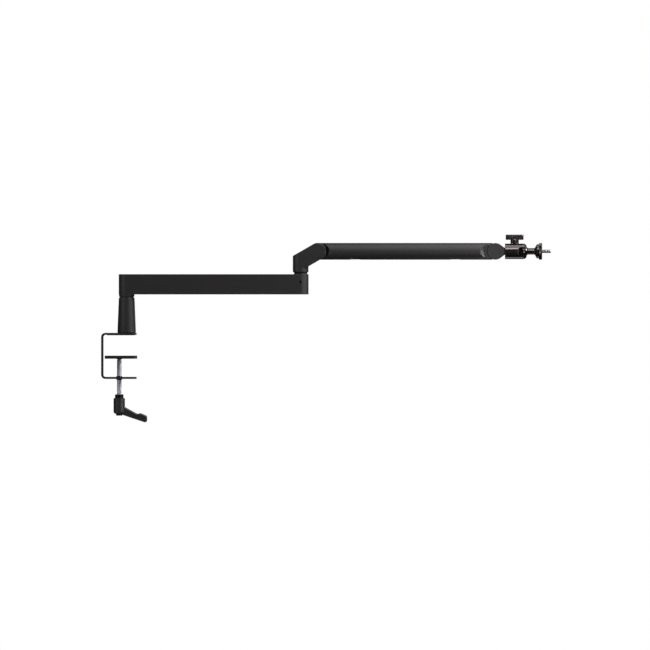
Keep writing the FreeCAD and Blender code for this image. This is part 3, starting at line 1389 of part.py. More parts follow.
# Round plate, rubber pad and thread for the microphone.
mic_plate = piece("mic_plate", x="ball_x", z="hinge_z")
plate_face = "flange_reach + mic_plate_thickness"
turned(mic_plate, "x", [
    ("flange_reach", "mic_stud_root_radius"),
    (plate_face, "mic_stud_root_radius"),
    (plate_face, "mic_plate_radius - mic_plate_chamfer"),
    (plate_face + " - mic_plate_chamfer", "mic_plate_radius"),
    ("flange_reach + mic_plate_chamfer", "mic_plate_radius"),
    ("flange_reach", "mic_plate_radius - mic_plate_chamfer"),
])
mic_pad = piece("plate_pad", x="ball_x", z="hinge_z")
sleeve(mic_pad, "x", plate_face, "mic_pad_face", "mic_stud_root_radius", "mic_pad_radius")
mic_stud = piece("mic_stud", x="ball_x", z="hinge_z")
turned(mic_stud, "x", [
    ("flange_reach - mic_stud_root_length + loose_clearance", "0"),
    ("mic_pad_face + mic_stud_reach", "0"),
    ("mic_pad_face + mic_stud_reach", "mic_stud_radius - mic_stud_chamfer"),
    ("mic_pad_face + mic_stud_reach - mic_stud_chamfer", "mic_stud_radius"),
    ("mic_pad_face", "mic_stud_radius"),
    ("mic_pad_face", "mic_stud_root_radius"),
    ("flange_reach - mic_stud_root_length + loose_clearance", "mic_stud_root_radius"),
])

doc.recompute()
for item in doc.Objects:
    if "Invalid" in item.State or "Error" in item.State:
        raise RuntimeError("%s failed" % item.Name)
for node in nodes:
    if node.Shape.isNull() or not node.Shape.isValid():
        raise RuntimeError("%s has no valid shape" % node.Label)
os.makedirs("parts", exist_ok=True)
for node in nodes:
    node.Shape.exportStep("parts/%s.step" % node.Label)
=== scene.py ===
import json
import math

import bmesh
import bpy
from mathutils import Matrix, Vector

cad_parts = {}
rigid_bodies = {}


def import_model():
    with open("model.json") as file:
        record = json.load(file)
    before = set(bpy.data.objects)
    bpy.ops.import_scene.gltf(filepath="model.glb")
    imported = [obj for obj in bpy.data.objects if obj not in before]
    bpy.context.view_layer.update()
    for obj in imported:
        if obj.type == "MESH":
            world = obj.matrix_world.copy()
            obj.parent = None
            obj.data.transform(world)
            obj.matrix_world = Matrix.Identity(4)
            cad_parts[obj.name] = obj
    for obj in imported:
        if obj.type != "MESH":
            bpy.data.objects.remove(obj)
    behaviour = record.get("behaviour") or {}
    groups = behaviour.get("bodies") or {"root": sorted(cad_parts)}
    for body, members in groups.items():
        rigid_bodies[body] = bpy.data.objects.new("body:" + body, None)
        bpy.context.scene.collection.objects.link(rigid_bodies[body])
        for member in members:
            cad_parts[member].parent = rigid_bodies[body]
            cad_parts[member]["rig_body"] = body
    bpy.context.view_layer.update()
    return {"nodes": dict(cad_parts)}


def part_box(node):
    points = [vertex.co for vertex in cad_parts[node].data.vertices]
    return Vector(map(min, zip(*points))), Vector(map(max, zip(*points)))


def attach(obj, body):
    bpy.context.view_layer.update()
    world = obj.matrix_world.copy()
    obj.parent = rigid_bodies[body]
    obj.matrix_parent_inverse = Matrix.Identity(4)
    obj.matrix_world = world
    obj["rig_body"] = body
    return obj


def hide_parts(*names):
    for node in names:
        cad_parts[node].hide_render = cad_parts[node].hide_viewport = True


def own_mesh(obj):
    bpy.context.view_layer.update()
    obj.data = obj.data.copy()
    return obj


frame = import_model()

# Set: a white paper studio with a long lens, level and square on to the side of the arm.
# The photo's 650 pixels are 1134 mm wide at the arm, and its middle is right of and above the post's foot.
mm = 0.001
scene = bpy.context.scene
scene.view_settings.view_transform = "Standard"
pixel = 1.745 * mm
photo_width = 650
post_column = 126.7
desk_row = 335.3
lens_distance = 24.0
centre = Vector(((photo_width / 2 - post_column) * pixel, 0, (desk_row - photo_width / 2) * pixel))
camera = bpy.data.objects.new("side_camera", bpy.data.cameras.new("side_camera"))
camera.data.sensor_width = 36
camera.data.lens = camera.data.sensor_width * lens_distance / (photo_width * pixel)
camera.location = centre - Vector((0, lens_distance, 0))
camera.rotation_euler = (math.radians(90), 0, 0)
scene.collection.objects.link(camera)
scene.camera = camera


def linear(code):
    """Linear colour of an sRGB hex value."""
    channels = [int(code[place:place + 2], 16) / 255 for place in (1, 3, 5)]
    return [c / 12.92 if c <= 0.04045 else ((c + 0.055) / 1.055) ** 2.4 for c in channels] + [1.0]


def add(tree, kind, links=None, **settings):
    """Node with its settings; links gives an input a value or another node's output."""
    item = tree.nodes.new(kind)
    for name, setting in settings.items():
        setattr(item, name, setting)
    for socket, source in (links or {}).items():
        if isinstance(source, bpy.types.NodeSocket):
            tree.links.new(source, item.inputs[socket])
        else:
            item.inputs[socket].default_value = source
    return item


def seen_directly(tree):
    """1 for the lens and for what metal and gloss mirror, 0 for the light that falls on the set."""
    rays = add(tree, "ShaderNodeLightPath").outputs
    seen = rays["Is Camera Ray"]
    for ray in ("Is Glossy Ray", "Is Transmission Ray"):
        seen = add(tree, "ShaderNodeMath", {0: seen, 1: rays[ray]}, operation="MAXIMUM").outputs[0]
    return seen


# White paper round the set, plain white to the lens and in what gloss and metal mirror.
# The light that it throws on the arm is much dimmer, and comes mostly from above.
world = bpy.data.worlds.new("white_studio")
world.use_nodes = True
scene.world = world
tree = world.node_tree
tree.nodes.clear()
toward = add(tree, "ShaderNodeSeparateXYZ", {0: add(tree, "ShaderNodeTexCoord").outputs["Generated"]})
level = add(tree, "ShaderNodeMapRange", {0: toward.outputs["Z"], 1: -0.1, 2: 0.8, 3: 0.04, 4: 0.35})
fill = add(tree, "ShaderNodeBackground", {"Color": linear("#ffffff"), "Strength": level.outputs[0]})
white = add(tree, "ShaderNodeBackground", {"Color": linear("#ffffff"), "Strength": 1.0})
mixed = add(tree, "ShaderNodeMixShader", {0: seen_directly(tree), 1: fill.outputs[0], 2: white.outputs[0]})
add(tree, "ShaderNodeOutputWorld", {"Surface": mixed.outputs[0]})


def stage_sheet(name, corners, colour):
    """Flat sheet of paper or cloth on the set."""
    mesh = bpy.data.meshes.new(name)
    mesh.from_pydata(corners, [], [range(len(corners))])
    sheet = bpy.data.objects.new(name, mesh)
    scene.collection.objects.link(sheet)
    paper = bpy.data.materials.new(name)
    paper.use_nodes = True
    shader = paper.node_tree.nodes["Principled BSDF"]
    shader.inputs["Base Color"].default_value = linear(colour)
    shader.inputs["Roughness"].default_value = 0.9
    mesh.materials.append(paper)
    return sheet


# Floor: pale paper as far below the clamp as a floor is below a desk, which keeps the arm's shadow.
# Towards its rim the paper turns into the white round it.
floor_drop = 0.75
floor_radius = 1.9
floor_sides = 96
fade_start = 0.8
fade_end = 1.75
floor_rim = []
for step in range(floor_sides):
    turn = 2 * math.pi * step / floor_sides
    floor_rim.append((centre.x + floor_radius * math.cos(turn), floor_radius * math.sin(turn), -floor_drop))
floor = stage_sheet("pale_floor", floor_rim, "#e8e8e8")
tree = floor.active_material.node_tree
shader = tree.nodes["Principled BSDF"]
place = add(tree, "ShaderNodeTexCoord").outputs["Object"]
away = add(tree, "ShaderNodeVectorMath", {0: place, 1: (centre.x, 0, -floor_drop)}, operation="DISTANCE")
rim = add(tree, "ShaderNodeMapRange", {0: away.outputs["Value"], 1: fade_start, 2: fade_end},
          interpolation_type="SMOOTHSTEP")
seen = seen_directly(tree)
rim = add(tree, "ShaderNodeMath", {0: rim.outputs[0], 1: seen}, operation="MULTIPLY")
white = add(tree, "ShaderNodeEmission", {"Color": linear("#ffffff"), "Strength": 1.0})
# Little of the light that falls on it comes back up, so the underside of the arm stays dark.
quiet = add(tree, "ShaderNodeBsdfDiffuse", {"Color": linear("#404040")})
paper = add(tree, "ShaderNodeMixShader", {0: seen, 1: quiet.outputs[0], 2: shader.outputs[0]})
mixed = add(tree, "ShaderNodeMixShader", {0: rim.outputs[0], 1: paper.outputs[0], 2: white.outputs[0]})
tree.links.new(mixed.outputs[0], tree.nodes["Material Output"].inputs["Surface"])

# Flags: black cloth on frames round the set, which only gloss and metal mirror.
# They keep the sides of the arm dark between the lamps, and between them the white paper shows.
left, right = -2.4, 3.0
front, back = -3.0, 2.4
low, high = -0.7, 2.2
front_top, side_top, back_top = 2.9, 1.55, 0.5
low_split, high_split = 0.2, 0.45
gap_start, gap_end, roof_edge = -1.4, 0.0, 0.4
for name, corners in (
        ("front_flag", [(left, front, low), (right, front, low),
                        (right, front, front_top), (left, front, front_top)]),
        ("left_flag", [(left, front, low), (left, back, low),
                       (left, back, side_top), (left, front, side_top)]),
        ("right_flag", [(right, front, low), (right, back, low),
                        (right, back, side_top), (right, front, side_top)]),
        ("back_flag", [(left, back, low), (right, back, low),
                       (right, back, back_top), (left, back, back_top)]),
        ("low_flag", [(low_split, front, low), (right, front, low),
                      (right, back, low), (low_split, back, low)]),
        ("low_front_flag", [(left, front, low), (low_split, front, low),
                            (low_split, gap_start, low), (left, gap_start, low)]),
        ("low_back_flag", [(left, gap_end, low), (low_split, gap_end, low),
                           (low_split, back, low), (left, back, low)]),
        ("high_left_flag", [(left, front, high), (high_split, front, high),
                            (high_split, roof_edge, high), (left, roof_edge, high)]),
        ("high_flag", [(left, roof_edge, high), (right, roof_edge, high),
                       (right, back, back_top), (left, back, back_top)])):
    flag = stage_sheet(name, corners, "#0a0a0a")
    flag.visible_camera = False
    flag.visible_diffuse = False
    flag.visible_shadow = False
    flag.visible_transmission = False


# Softboxes: the overhead, right and left ones light the whole arm.
# The others are small, and put lines of light on the tube, the elbow and the head, or light the back.
def softbox(name, place, aim, width, height, power):
    """Large diffused lamp pointed at a spot on the arm."""
    lamp = bpy.data.lights.new(name, "AREA")
    lamp.shape = "RECTANGLE"
    lamp.size = width
    lamp.size_y = height
    lamp.energy = power
    holder = bpy.data.objects.new(name, lamp)
    holder.location = place
    holder.rotation_euler = (Vector(aim) - Vector(place)).to_track_quat("-Z", "Y").to_euler()
    holder.visible_camera = False
    scene.collection.objects.link(holder)


softbox("overhead_softbox", (0.97, -0.15, 1.15), aim=(0.75, 0, 0.14), width=0.8, height=1.1, power=9)
softbox("front_softbox", (0.69, -1.1, 1.2), aim=(0.69, 0, 0.147), width=0.22, height=0.6, power=4.8)
softbox("head_softbox", (0.92, -0.6, -0.05), aim=(0.63, 0, 0.14), width=0.24, height=0.24, power=1.6)
softbox("right_softbox", (1.0, -0.85, 0.4), aim=(0.6, 0, 0.12), width=0.5, height=1.0, power=2.2)
softbox("end_softbox", (1.19, -0.07, 0.37), aim=(0.63, 0, 0.147), width=0.3, height=0.24, power=6)
softbox("left_softbox", (-1.0, -0.85, 0.55), aim=(0.2, 0, 0.1), width=0.6, height=1.0, power=4.2)
softbox("low_head_softbox", (0.69, 0.2, -0.4), aim=(0.67, 0, 0.147), width=0.16, height=0.3, power=0.3)
softbox("high_left_softbox", (-0.66, -0.83, 0.9), aim=(0.345, 0, 0.14), width=0.4, height=0.4, power=2.4)
softbox("back_left_softbox", (-0.1, 1.5, 0.2), aim=(0.1, 0, 0.1), width=0.8, height=0.7, power=2.4)
softbox("back_right_softbox", (0.8, 1.5, 0.2), aim=(0.6, 0, 0.12), width=0.8, height=0.7, power=2.4)


# Clamp bracket: a strip of 3.5 mm steel sheet, cut, drilled and bent into a C, then powder coated.
# It carries the whole arm, with one jaw over the desk and one under it.
def new_finish(name):
    """New material with its tree, its shader and the place on the piece in metres."""
    material = bpy.data.materials.new(name)
    material.use_nodes = True
    tree = material.node_tree
    return material, tree, tree.nodes["Principled BSDF"], add(tree, "ShaderNodeTexCoord").outputs["Object"]


def link_finish(tree, shader, tone, gloss, relief):
    """Colour, roughness and relief of a finish, led to its shader."""
    tree.links.new(tone.outputs[2], shader.inputs["Base Color"])
    tree.links.new(gloss.outputs[0], shader.inputs["Roughness"])
    tree.links.new(relief.outputs[0], shader.inputs["Normal"])


def powder_coat(name, dark, light, worn):
    """Satin powder coat baked on metal: an even charcoal black, with a soft broad shine and fine orange peel.
    Edges are rubbed a little lighter and smoother by hands and packing."""
    material, tree, shader, place = new_finish(name)
    # Real orange peel is about 1 mm wide; 2.5 mm is as fine as the render shows.
    peel = add(tree, "ShaderNodeTexNoise", {"Vector": place, "Scale": 1 / (2.5 * mm), "Detail": 3.0})
    mottle = add(tree, "ShaderNodeTexNoise", {"Vector": place, "Scale": 1 / (45 * mm), "Detail": 4.0})
    tone = add(tree, "ShaderNodeMix", {0: mottle.outputs["Fac"], 6: linear(dark), 7: linear(light)},
               data_type="RGBA")
    scuffs = add(tree, "ShaderNodeTexNoise", {"Vector": place, "Scale": 1 / (7 * mm), "Detail": 5.0})
    scuffs = add(tree, "ShaderNodeMapRange", {0: scuffs.outputs["Fac"], 1: 0.42, 2: 0.66})
    edge = add(tree, "ShaderNodeAttribute", attribute_name="rubbed").outputs["Fac"]
    wear = add(tree, "ShaderNodeMath", {0: scuffs.outputs[0], 1: edge}, operation="MULTIPLY").outputs[0]
    tone = add(tree, "ShaderNodeMix", {0: wear, 6: tone.outputs[2], 7: linear(worn)}, data_type="RGBA")
    gloss = add(tree, "ShaderNodeMapRange", {0: peel.outputs["Fac"], 3: 0.5, 4: 0.6})
    gloss = add(tree, "ShaderNodeMath", {0: wear, 1: -0.1, 2: gloss.outputs[0]}, operation="MULTIPLY_ADD")
    relief = add(tree, "ShaderNodeBump",
                 {"Height": peel.outputs["Fac"], "Strength": 0.15, "Distance": 0.2 * mm})
    link_finish(tree, shader, tone, gloss, relief)
    shader.inputs["IOR"].default_value = 1.5
    return material


nodes = frame["nodes"]
bracket_coat = powder_coat("satin_black_powder_coat_on_sheet_steel", "#100f0f", "#141313", "#222121")


def stand_for(node, mesh, finish):
    """Object of a new mesh that stands for a CAD node and moves with its body."""
    piece = bpy.data.objects.new("dressed_" + node, mesh)
    scene.collection.objects.link(piece)
    mesh.materials.clear()
    mesh.materials.append(finish)
    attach(piece, nodes[node]["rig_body"])
    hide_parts(node)
    return piece


def breadth(face):
    """Width of a long face."""
    return face.calc_area() / max(edge.calc_length() for edge in face.edges)


def eased(node, width, finish, room=0):
    """Copy of a CAD node with its sharp edges rounded over, as they are on the made piece.
    An edge stays as it is where a face beside it is narrower than room times the width."""
    flat, sharp_turn, crease = (math.radians(turn) for turn in (0.5, 35, 50))
    rubbed_width = 0.6 * mm
    shape = bmesh.new()
    shape.from_mesh(nodes[node].data)
    bmesh.ops.remove_doubles(shape, verts=shape.verts, dist=0.001 * mm)
    bmesh.ops.dissolve_limit(shape, angle_limit=flat, verts=shape.verts, edges=shape.edges)
    sharp = [edge for edge in shape.edges if edge.is_manifold and edge.calc_face_angle() > sharp_turn
             and min(breadth(face) for face in edge.link_faces) > room * width * mm]
    bmesh.ops.bevel(shape, geom=sharp, offset=width * mm, segments=2, profile=0.5, affect="EDGES",
                    clamp_overlap=False)
    # The narrow faces are the rounded edges, which hands and packing rub.
    rubbed = shape.faces.layers.float.new("rubbed")
    for face in shape.faces:
        face.smooth = True
        face[rubbed] = 1.0 if breadth(face) < rubbed_width else 0.0
    mesh = bpy.data.meshes.new("dressed_" + node)
    shape.to_mesh(mesh)
    shape.free()
    mesh.set_sharp_from_angle(angle=crease)
    piece = stand_for(node, mesh, finish)
    even = piece.modifiers.new("even_shading", "WEIGHTED_NORMAL")
    even.weight = 100
    even.keep_sharp = True


eased("clamp_bracket", 0.2, bracket_coat)

# Rubber pads: solid black rubber sheet, moulded with fine grip ribs, cut with round corners and glued on.
# One lies under the upper jaw and one on the moving plate, so that the desk isn't marked.
rubber, tree, shader, place = new_finish("moulded_black_rubber_matt")
# Rubber is dull and soft to the eye, with a grey bloom of dust in its grain.
grain = add(tree, "ShaderNodeTexNoise", {"Vector": place, "Scale": 1 / (1.2 * mm), "Detail": 4.0})
bloom = add(tree, "ShaderNodeTexNoise", {"Vector": place, "Scale": 1 / (18 * mm), "Detail": 5.0})
bloom = add(tree, "ShaderNodeMapRange", {0: bloom.outputs["Fac"], 1: 0.4, 2: 0.75})
tone = add(tree, "ShaderNodeMix", {0: bloom.outputs[0], 6: linear("#0d0d0d"), 7: linear("#1b1b1b")},
           data_type="RGBA")
dull = add(tree, "ShaderNodeMapRange", {0: grain.outputs["Fac"], 3: 0.72, 4: 0.92})
relief = add(tree, "ShaderNodeBump", {"Height": grain.outputs["Fac"], "Strength": 0.3, "Distance": 0.15 * mm})
link_finish(tree, shader, tone, dull, relief)
shader.inputs["IOR"].default_value = 1.52


def ribbed_pad(node, corner, pitch, depth, ribs_up):
    """Pad with round corners and straight ribs on the side that holds the desk."""
    low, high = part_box(node)
    corner, pitch, depth = corner * mm, pitch * mm, depth * mm
    count = int((high.y - low.y - 2 * corner) / pitch)
    rib_form = ((0.12, 0), (0.38, 0), (0.55, depth), (0.95, depth))
    ribs = [((rib - count / 2 + share) * pitch, drop) for rib in range(count) for share, drop in rib_form]
    half = (high.y - low.y) / 2
    bend_steps = 8
    bend = [corner * (1 - math.cos(step * math.pi / 2 / bend_steps)) for step in range(bend_steps + 1)]
    rows = [(-half + far, 0) for far in bend] + ribs + [(half - far, 0) for far in reversed(bend)]
    shape = bmesh.new()
    rings = []
    for y, drop in rows:
        past = max(0, abs(y) - half + corner)
        inset = corner - math.sqrt(max(0, corner ** 2 - past ** 2))
        near, far = low.x + inset, high.x - inset
        bottom = low.z if ribs_up else low.z + drop
        top = high.z - drop if ribs_up else high.z
        middle = (low.y + high.y) / 2
        rings.append([shape.verts.new((x, middle + y, z)) for x, z in
                      ((near, bottom), (far, bottom), (far, top), (near, top))])
    for back, front in zip(rings, rings[1:]):
        for side in range(4):
            shape.faces.new((back[side], back[side - 1], front[side - 1], front[side]))
    shape.faces.new(rings[0])
    shape.faces.new(reversed(rings[-1]))
    bmesh.ops.recalc_face_normals(shape, faces=shape.faces)
    mesh = bpy.data.meshes.new("dressed_" + node)
    shape.to_mesh(mesh)
    shape.free()
    stand_for(node, mesh, rubber)


ribbed_pad("jaw_pad", corner=5, pitch=3, depth=0.35, ribs_up=False)
ribbed_pad("pressure_pad", corner=7, pitch=3, depth=0.6, ribs_up=True)

# Post: aluminium bar turned to a slim taper and powder coated with the arm.
# Three screws hold it down through the jaw, and the spigot of the lower arm turns in it.
arm_coat = powder_coat("satin_black_powder_coat_on_aluminium", "#1a1718", "#201d1e", "#2d2a2b")
eased("post", 0.3, arm_coat)


def dress(finish, *names):
    """Finish of the CAD nodes whose own shape is right."""
    for name in names:
        nodes[name].data.materials.clear()
        nodes[name].data.materials.append(finish)


# Post screws: turned steel, blackened in a hot oxide bath and oiled.
# The bolts, axles and springs of the arm's joints have the same finish.
black_oxide, tree, shader, place = new_finish("black_oxide_steel_oiled")
# The oxide is a dark grey metal sheen, patchy where the oil has dried.
oil = add(tree, "ShaderNodeTexNoise", {"Vector": place, "Scale": 1 / (6 * mm), "Detail": 4.0})
tone = add(tree, "ShaderNodeMix", {0: oil.outputs["Fac"], 6: linear("#1f1f21"), 7: linear("#343437")},
           data_type="RGBA")
gloss = add(tree, "ShaderNodeMapRange", {0: oil.outputs["Fac"], 3: 0.28, 4: 0.46})
grain = add(tree, "ShaderNodeTexNoise", {"Vector": place, "Scale": 1 / (0.8 * mm), "Detail": 2.0})
relief = add(tree, "ShaderNodeBump", {"Height": grain.outputs["Fac"], "Strength": 0.1, "Distance": 0.05 * mm})
link_finish(tree, shader, tone, gloss, relief)
shader.inputs["Metallic"].default_value = 1.0
dress(black_oxide, "post_screws")

# Post bushes: acetal, turned and pressed into the post, where the spigot turns in them.
# The flange of the upper one shows as a thin ring under the arm.
acetal, tree, shader, place = new_finish("black_acetal_turned")
# Acetal is smooth and slightly waxy, with faint rings from the turning tool.
wax = add(tree, "ShaderNodeTexNoise", {"Vector": place, "Scale": 1 / (9 * mm), "Detail": 3.0})
tone = add(tree, "ShaderNodeMix", {0: wax.outputs["Fac"], 6: linear("#0f0f10"), 7: linear("#161617")},
           data_type="RGBA")
gloss = add(tree, "ShaderNodeMapRange", {0: wax.outputs["Fac"], 3: 0.28, 4: 0.4})
ring_scale = 1 / (2 * math.pi * 0.25 * mm)
rings = add(tree, "ShaderNodeTexWave", {"Vector": place, "Scale": ring_scale, "Distortion": 0.4},
            bands_direction="Z")
relief = add(tree, "ShaderNodeBump",
             {"Height": rings.outputs["Fac"], "Strength": 0.06, "Distance": 0.05 * mm})
link_finish(tree, shader, tone, gloss, relief)
shader.inputs["IOR"].default_value = 1.48
dress(acetal, "post_upper_bush", "post_lower_bush")

# Moving plate: pressed steel with a low boss formed in its middle, powder coated like the bracket.
# The end of the clamp screw turns in the boss and pushes the plate up under the desk.
eased("pressure_plate", 0.3, bracket_coat)

# Clamp screw: M8 steel, thread rolled to its full length, headed over in the plate and zinc plated.
# It runs in a threaded steel bush that is pressed into the lower jaw and blackened.
zinc, tree, shader, place = new_finish("dull_zinc_plate_on_rolled_steel")
# Zinc is a cool light grey metal, a little cloudy from the plating bath.
cloud = add(tree, "ShaderNodeTexNoise", {"Vector": place, "Scale": 1 / (5 * mm), "Detail": 4.0})
tone = add(tree, "ShaderNodeMix", {0: cloud.outputs["Fac"], 6: linear("#dcdde8"), 7: linear("#eaebf4")},
           data_type="RGBA")
gloss = add(tree, "ShaderNodeMapRange", {0: cloud.outputs["Fac"], 3: 0.58, 4: 0.7})
grain = add(tree, "ShaderNodeTexNoise", {"Vector": place, "Scale": 1 / (0.9 * mm), "Detail": 2.0})
relief = add(tree, "ShaderNodeBump",
             {"Height": grain.outputs["Fac"], "Strength": 0.08, "Distance": 0.05 * mm})
link_finish(tree, shader, tone, gloss, relief)
shader.inputs["Metallic"].default_value = 1.0


def join_rings(shape, rings):
    """Faces between rings of points that follow each other; a ring of one point closes an end."""
    for first, second in zip(rings, rings[1:]):
        count = max(len(first), len(second))
        for step in range(count):
            corners = [first[(step - 1) % len(first)], second[(step - 1) % len(second)],
                       second[step % len(second)], first[step % len(first)]]
            shape.faces.new(list(dict.fromkeys(corners)))


def stand_skinned(node, shape, finish):
    """Piece made of skinned rings, smooth apart from its sharp edges."""
    bmesh.ops.recalc_face_normals(shape, faces=shape.faces)
    for face in shape.faces:
        face.smooth = True
    mesh = bpy.data.meshes.new("dressed_" + node)
    shape.to_mesh(mesh)
    shape.free()
    crease = math.radians(32)
    mesh.set_sharp_from_angle(angle=crease)
    stand_for(node, mesh, finish)


def turned(node, starts, along, rows, finish, sides=48):
    """Like pieces made on a lathe: rows of distance and radius in mm along an axis from each start.
    A row may have a form, a function of distance, share of a turn and radius that gives the radius there."""
    along = Vector(along)
    across = along.orthogonal().normalized()
    third = along.cross(across)
    shape = bmesh.new()
    for start in starts:
        rings = []
        for distance, radius, *form in rows:
            middle = Vector(start) + along * distance * mm
            ring = []
            for step in range(sides if radius else 1):
                share = step / sides
                reach = form[0](distance, share, radius) if form else radius
                turn = 2 * math.pi * share
                outward = across * math.cos(turn) + third * math.sin(turn)
                ring.append(shape.verts.new(middle + outward * reach * mm))
            rings.append(ring)
        join_rings(shape, rings)
    stand_skinned(node, shape, finish)


def thread(start, end, radius, pitch, depth):
    """Rows of a screw thread with narrow flat crests and roots."""
    rows_per_turn = 8
    flank_slope, crest_share = 3.2, 0.3

    def form(distance, share, radius):
        phase = (distance / pitch - share) % 1
        return radius - depth * min(1, max(0, flank_slope * abs(phase - 0.5) - crest_share))
    count = int((end - start) * rows_per_turn / pitch)
    return [(start + step * pitch / rows_per_turn, radius, form) for step in range(count)]


screw_x = -13 * mm
screw_radius = 4
tip_bevel = 0.8
plate_gap = 1
runout, runout_radius = 0.4, 3.3
swivel_radius = 3
rivet_foot, rivet_base, rivet_crown = 1.4, 1.2, 0.3
rivet_radius, crown_radius = 4.6, 4.2
pressure_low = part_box("pressure_plate")[0]
screw_low, screw_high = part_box("clamp_screw")
screw_length = (screw_high.z - screw_low.z) / mm
thread_end = (pressure_low.z - screw_low.z) / mm - plate_gap
# The real thread is about 0.7 mm deep; at the size of the render it would show as a mottle.
turned("clamp_screw", [(screw_x, 0, screw_low.z)], (0, 0, 1),
       [(0, 0), (0, screw_radius - tip_bevel), (tip_bevel, screw_radius)]
       + thread(tip_bevel, thread_end, screw_radius, pitch=1.25, depth=0.2)
       + [(thread_end, runout_radius), (thread_end + runout, swivel_radius),
          (screw_length - rivet_foot, swivel_radius), (screw_length - rivet_base, rivet_radius),
          (screw_length - rivet_crown, rivet_radius), (screw_length, crown_radius), (screw_length, 0)],
       zinc, sides=40)
eased("clamp_nut", 0.2, black_oxide)

# Clamp lever: an indexing lever of glass-filled nylon, moulded in one piece over its splines.
# It is pulled down against a spring to turn it on a splined steel insert, and one screw keeps it there.
nylon, tree, shader, place = new_finish("glass_filled_nylon_moulded")
# Moulded nylon has a fine spark-eroded grain and cloudy flow marks; handled edges are polished.
spark = add(tree, "ShaderNodeTexNoise", {"Vector": place, "Scale": 1 / (1.5 * mm), "Detail": 5.0})
flow = add(tree, "ShaderNodeTexNoise",
           {"Vector": place, "Scale": 1 / (16 * mm), "Detail": 3.0, "Distortion": 0.8})
tone = add(tree, "ShaderNodeMix", {0: flow.outputs["Fac"], 6: linear("#161515"), 7: linear("#1d1b1b")},
           data_type="RGBA")
edge = add(tree, "ShaderNodeAttribute", attribute_name="rubbed").outputs["Fac"]
wear = add(tree, "ShaderNodeMath", {0: edge, 1: flow.outputs["Fac"]}, operation="MULTIPLY").outputs[0]
tone = add(tree, "ShaderNodeMix", {0: wear, 6: tone.outputs[2], 7: linear("#302e2e")}, data_type="RGBA")
gloss = add(tree, "ShaderNodeMapRange", {0: spark.outputs["Fac"], 3: 0.44, 4: 0.6})
gloss = add(tree, "ShaderNodeMath", {0: wear, 1: -0.2, 2: gloss.outputs[0]}, operation="MULTIPLY_ADD")
relief = add(tree, "ShaderNodeBump", {"Height": spark.outputs["Fac"], "Strength": 0.2, "Distance": 0.15 * mm})
link_finish(tree, shader, tone, gloss, relief)
shader.inputs["IOR"].default_value = 1.53
eased("clamp_lever", 0.12, nylon)
eased("lever_insert", 0.15, black_oxide)


def hexagon(distance, share, radius):
    """Form of a hexagon socket; the radius is that of its flats."""
    return radius / math.cos((share % (1 / 6) - 1 / 12) * 2 * math.pi)


def socket(depth, flats, rim):
    """Rows of a hexagon socket, from its floor out to the face round it."""
    return [(depth, 0), (depth, flats, hexagon), (0, flats, hexagon), (0, rim)]


# The screw's tip stops just short of the end of its hole.
tip_gap = 0.1
keeper_radius = 5.6
keeper_height = 3.2
keeper_bevel = 0.5
shank_radius = 2.5
lever_screw_low, lever_screw_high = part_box("lever_screw")
lever_screw_length = (lever_screw_high.z - lever_screw_low.z) / mm - tip_gap
turned("lever_screw", [(screw_x, 0, lever_screw_low.z)], (0, 0, 1),
       socket(depth=2.2, flats=2, rim=2.6)
       + [(0, keeper_radius - keeper_bevel), (keeper_bevel, keeper_radius), (keeper_height, keeper_radius),
          (keeper_height, shank_radius), (lever_screw_length - keeper_bevel, shank_radius),
          (lever_screw_length, shank_radius - keeper_bevel), (lever_screw_length, 0)], black_oxide)

# Lever spring: steel wire wound on a mandrel, its end turns closed, and zinc plated.
# It stands round the screw inside the hub and pulls the lever back into its splines.
spring_low, spring_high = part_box("lever_spring")
wire_radius = 0.5 * mm
coil_radius = (spring_high.x - spring_low.x) / 2 - wire_radius
coil_turns = 5
closed_turns = 0.8
wire_slack = 1.02
steps_per_turn = 40
wire_sides = 12
shape = bmesh.new()
rings = []
rise = spring_high.z - spring_low.z - 2 * wire_radius
closed_rise = 2 * wire_radius * closed_turns * wire_slack
for step in range(coil_turns * steps_per_turn + 1):
    turns = step / steps_per_turn
    open_share = min(1, max(0, (turns - closed_turns) / (coil_turns - 2 * closed_turns)))
    closed_share = (min(turns, closed_turns) + max(0, turns - coil_turns + closed_turns)) / closed_turns
    height = spring_low.z + wire_radius + closed_rise * closed_share + (rise - 2 * closed_rise) * open_share
    turn = 2 * math.pi * turns
    outward = Vector((math.cos(turn), math.sin(turn), 0))
    middle = Vector((screw_x, 0, height)) + outward * coil_radius
    ring = []
    for side in range(wire_sides):
        turn = 2 * math.pi * side / wire_sides
        upward = Vector((0, 0, wire_radius * math.sin(turn)))
        ring.append(shape.verts.new(middle + outward * wire_radius * math.cos(turn) + upward))
    rings.append(ring)
for first, second in zip(rings, rings[1:]):
    for side in range(wire_sides):
        shape.faces.new((first[side - 1], second[side - 1], second[side], first[side])).smooth = True
shape.faces.new(reversed(rings[0]))
shape.faces.new(rings[-1])
bmesh.ops.recalc_face_normals(shape, faces=shape.faces)
mesh = bpy.data.meshes.new("dressed_lever_spring")
shape.to_mesh(mesh)
shape.free()
spring = stand_for("lever_spring", mesh, zinc)
# The screw's head holds its lower end, and the pulled lever presses its upper end down.
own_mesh(spring)

# Lower arm: an aluminium channel with round ends, machined from extrusion and powder coated.
# Its cable channel is open at the top and closed by a moulded lift-off cover.
# A block pressed into its far end is bored for the pivot of the elbow.
eased("lower_arm_channel", 0.15, arm_coat, room=2.5)
eased("pivot_block", 0.12, arm_coat)
eased("lower_cover", 0.3, nylon)

# Spigot: a ground steel shaft, zinc plated, that drops into the post, with a black bolt through the arm.
# The bushes and the friction pad for the elbow's pivot are turned from the same acetal as the post's.
dress(zinc, "base_spigot")
dress(black_oxide, "spigot_bolt")
dress(acetal, "elbow_upper_bush", "elbow_lower_bush", "friction_pad")

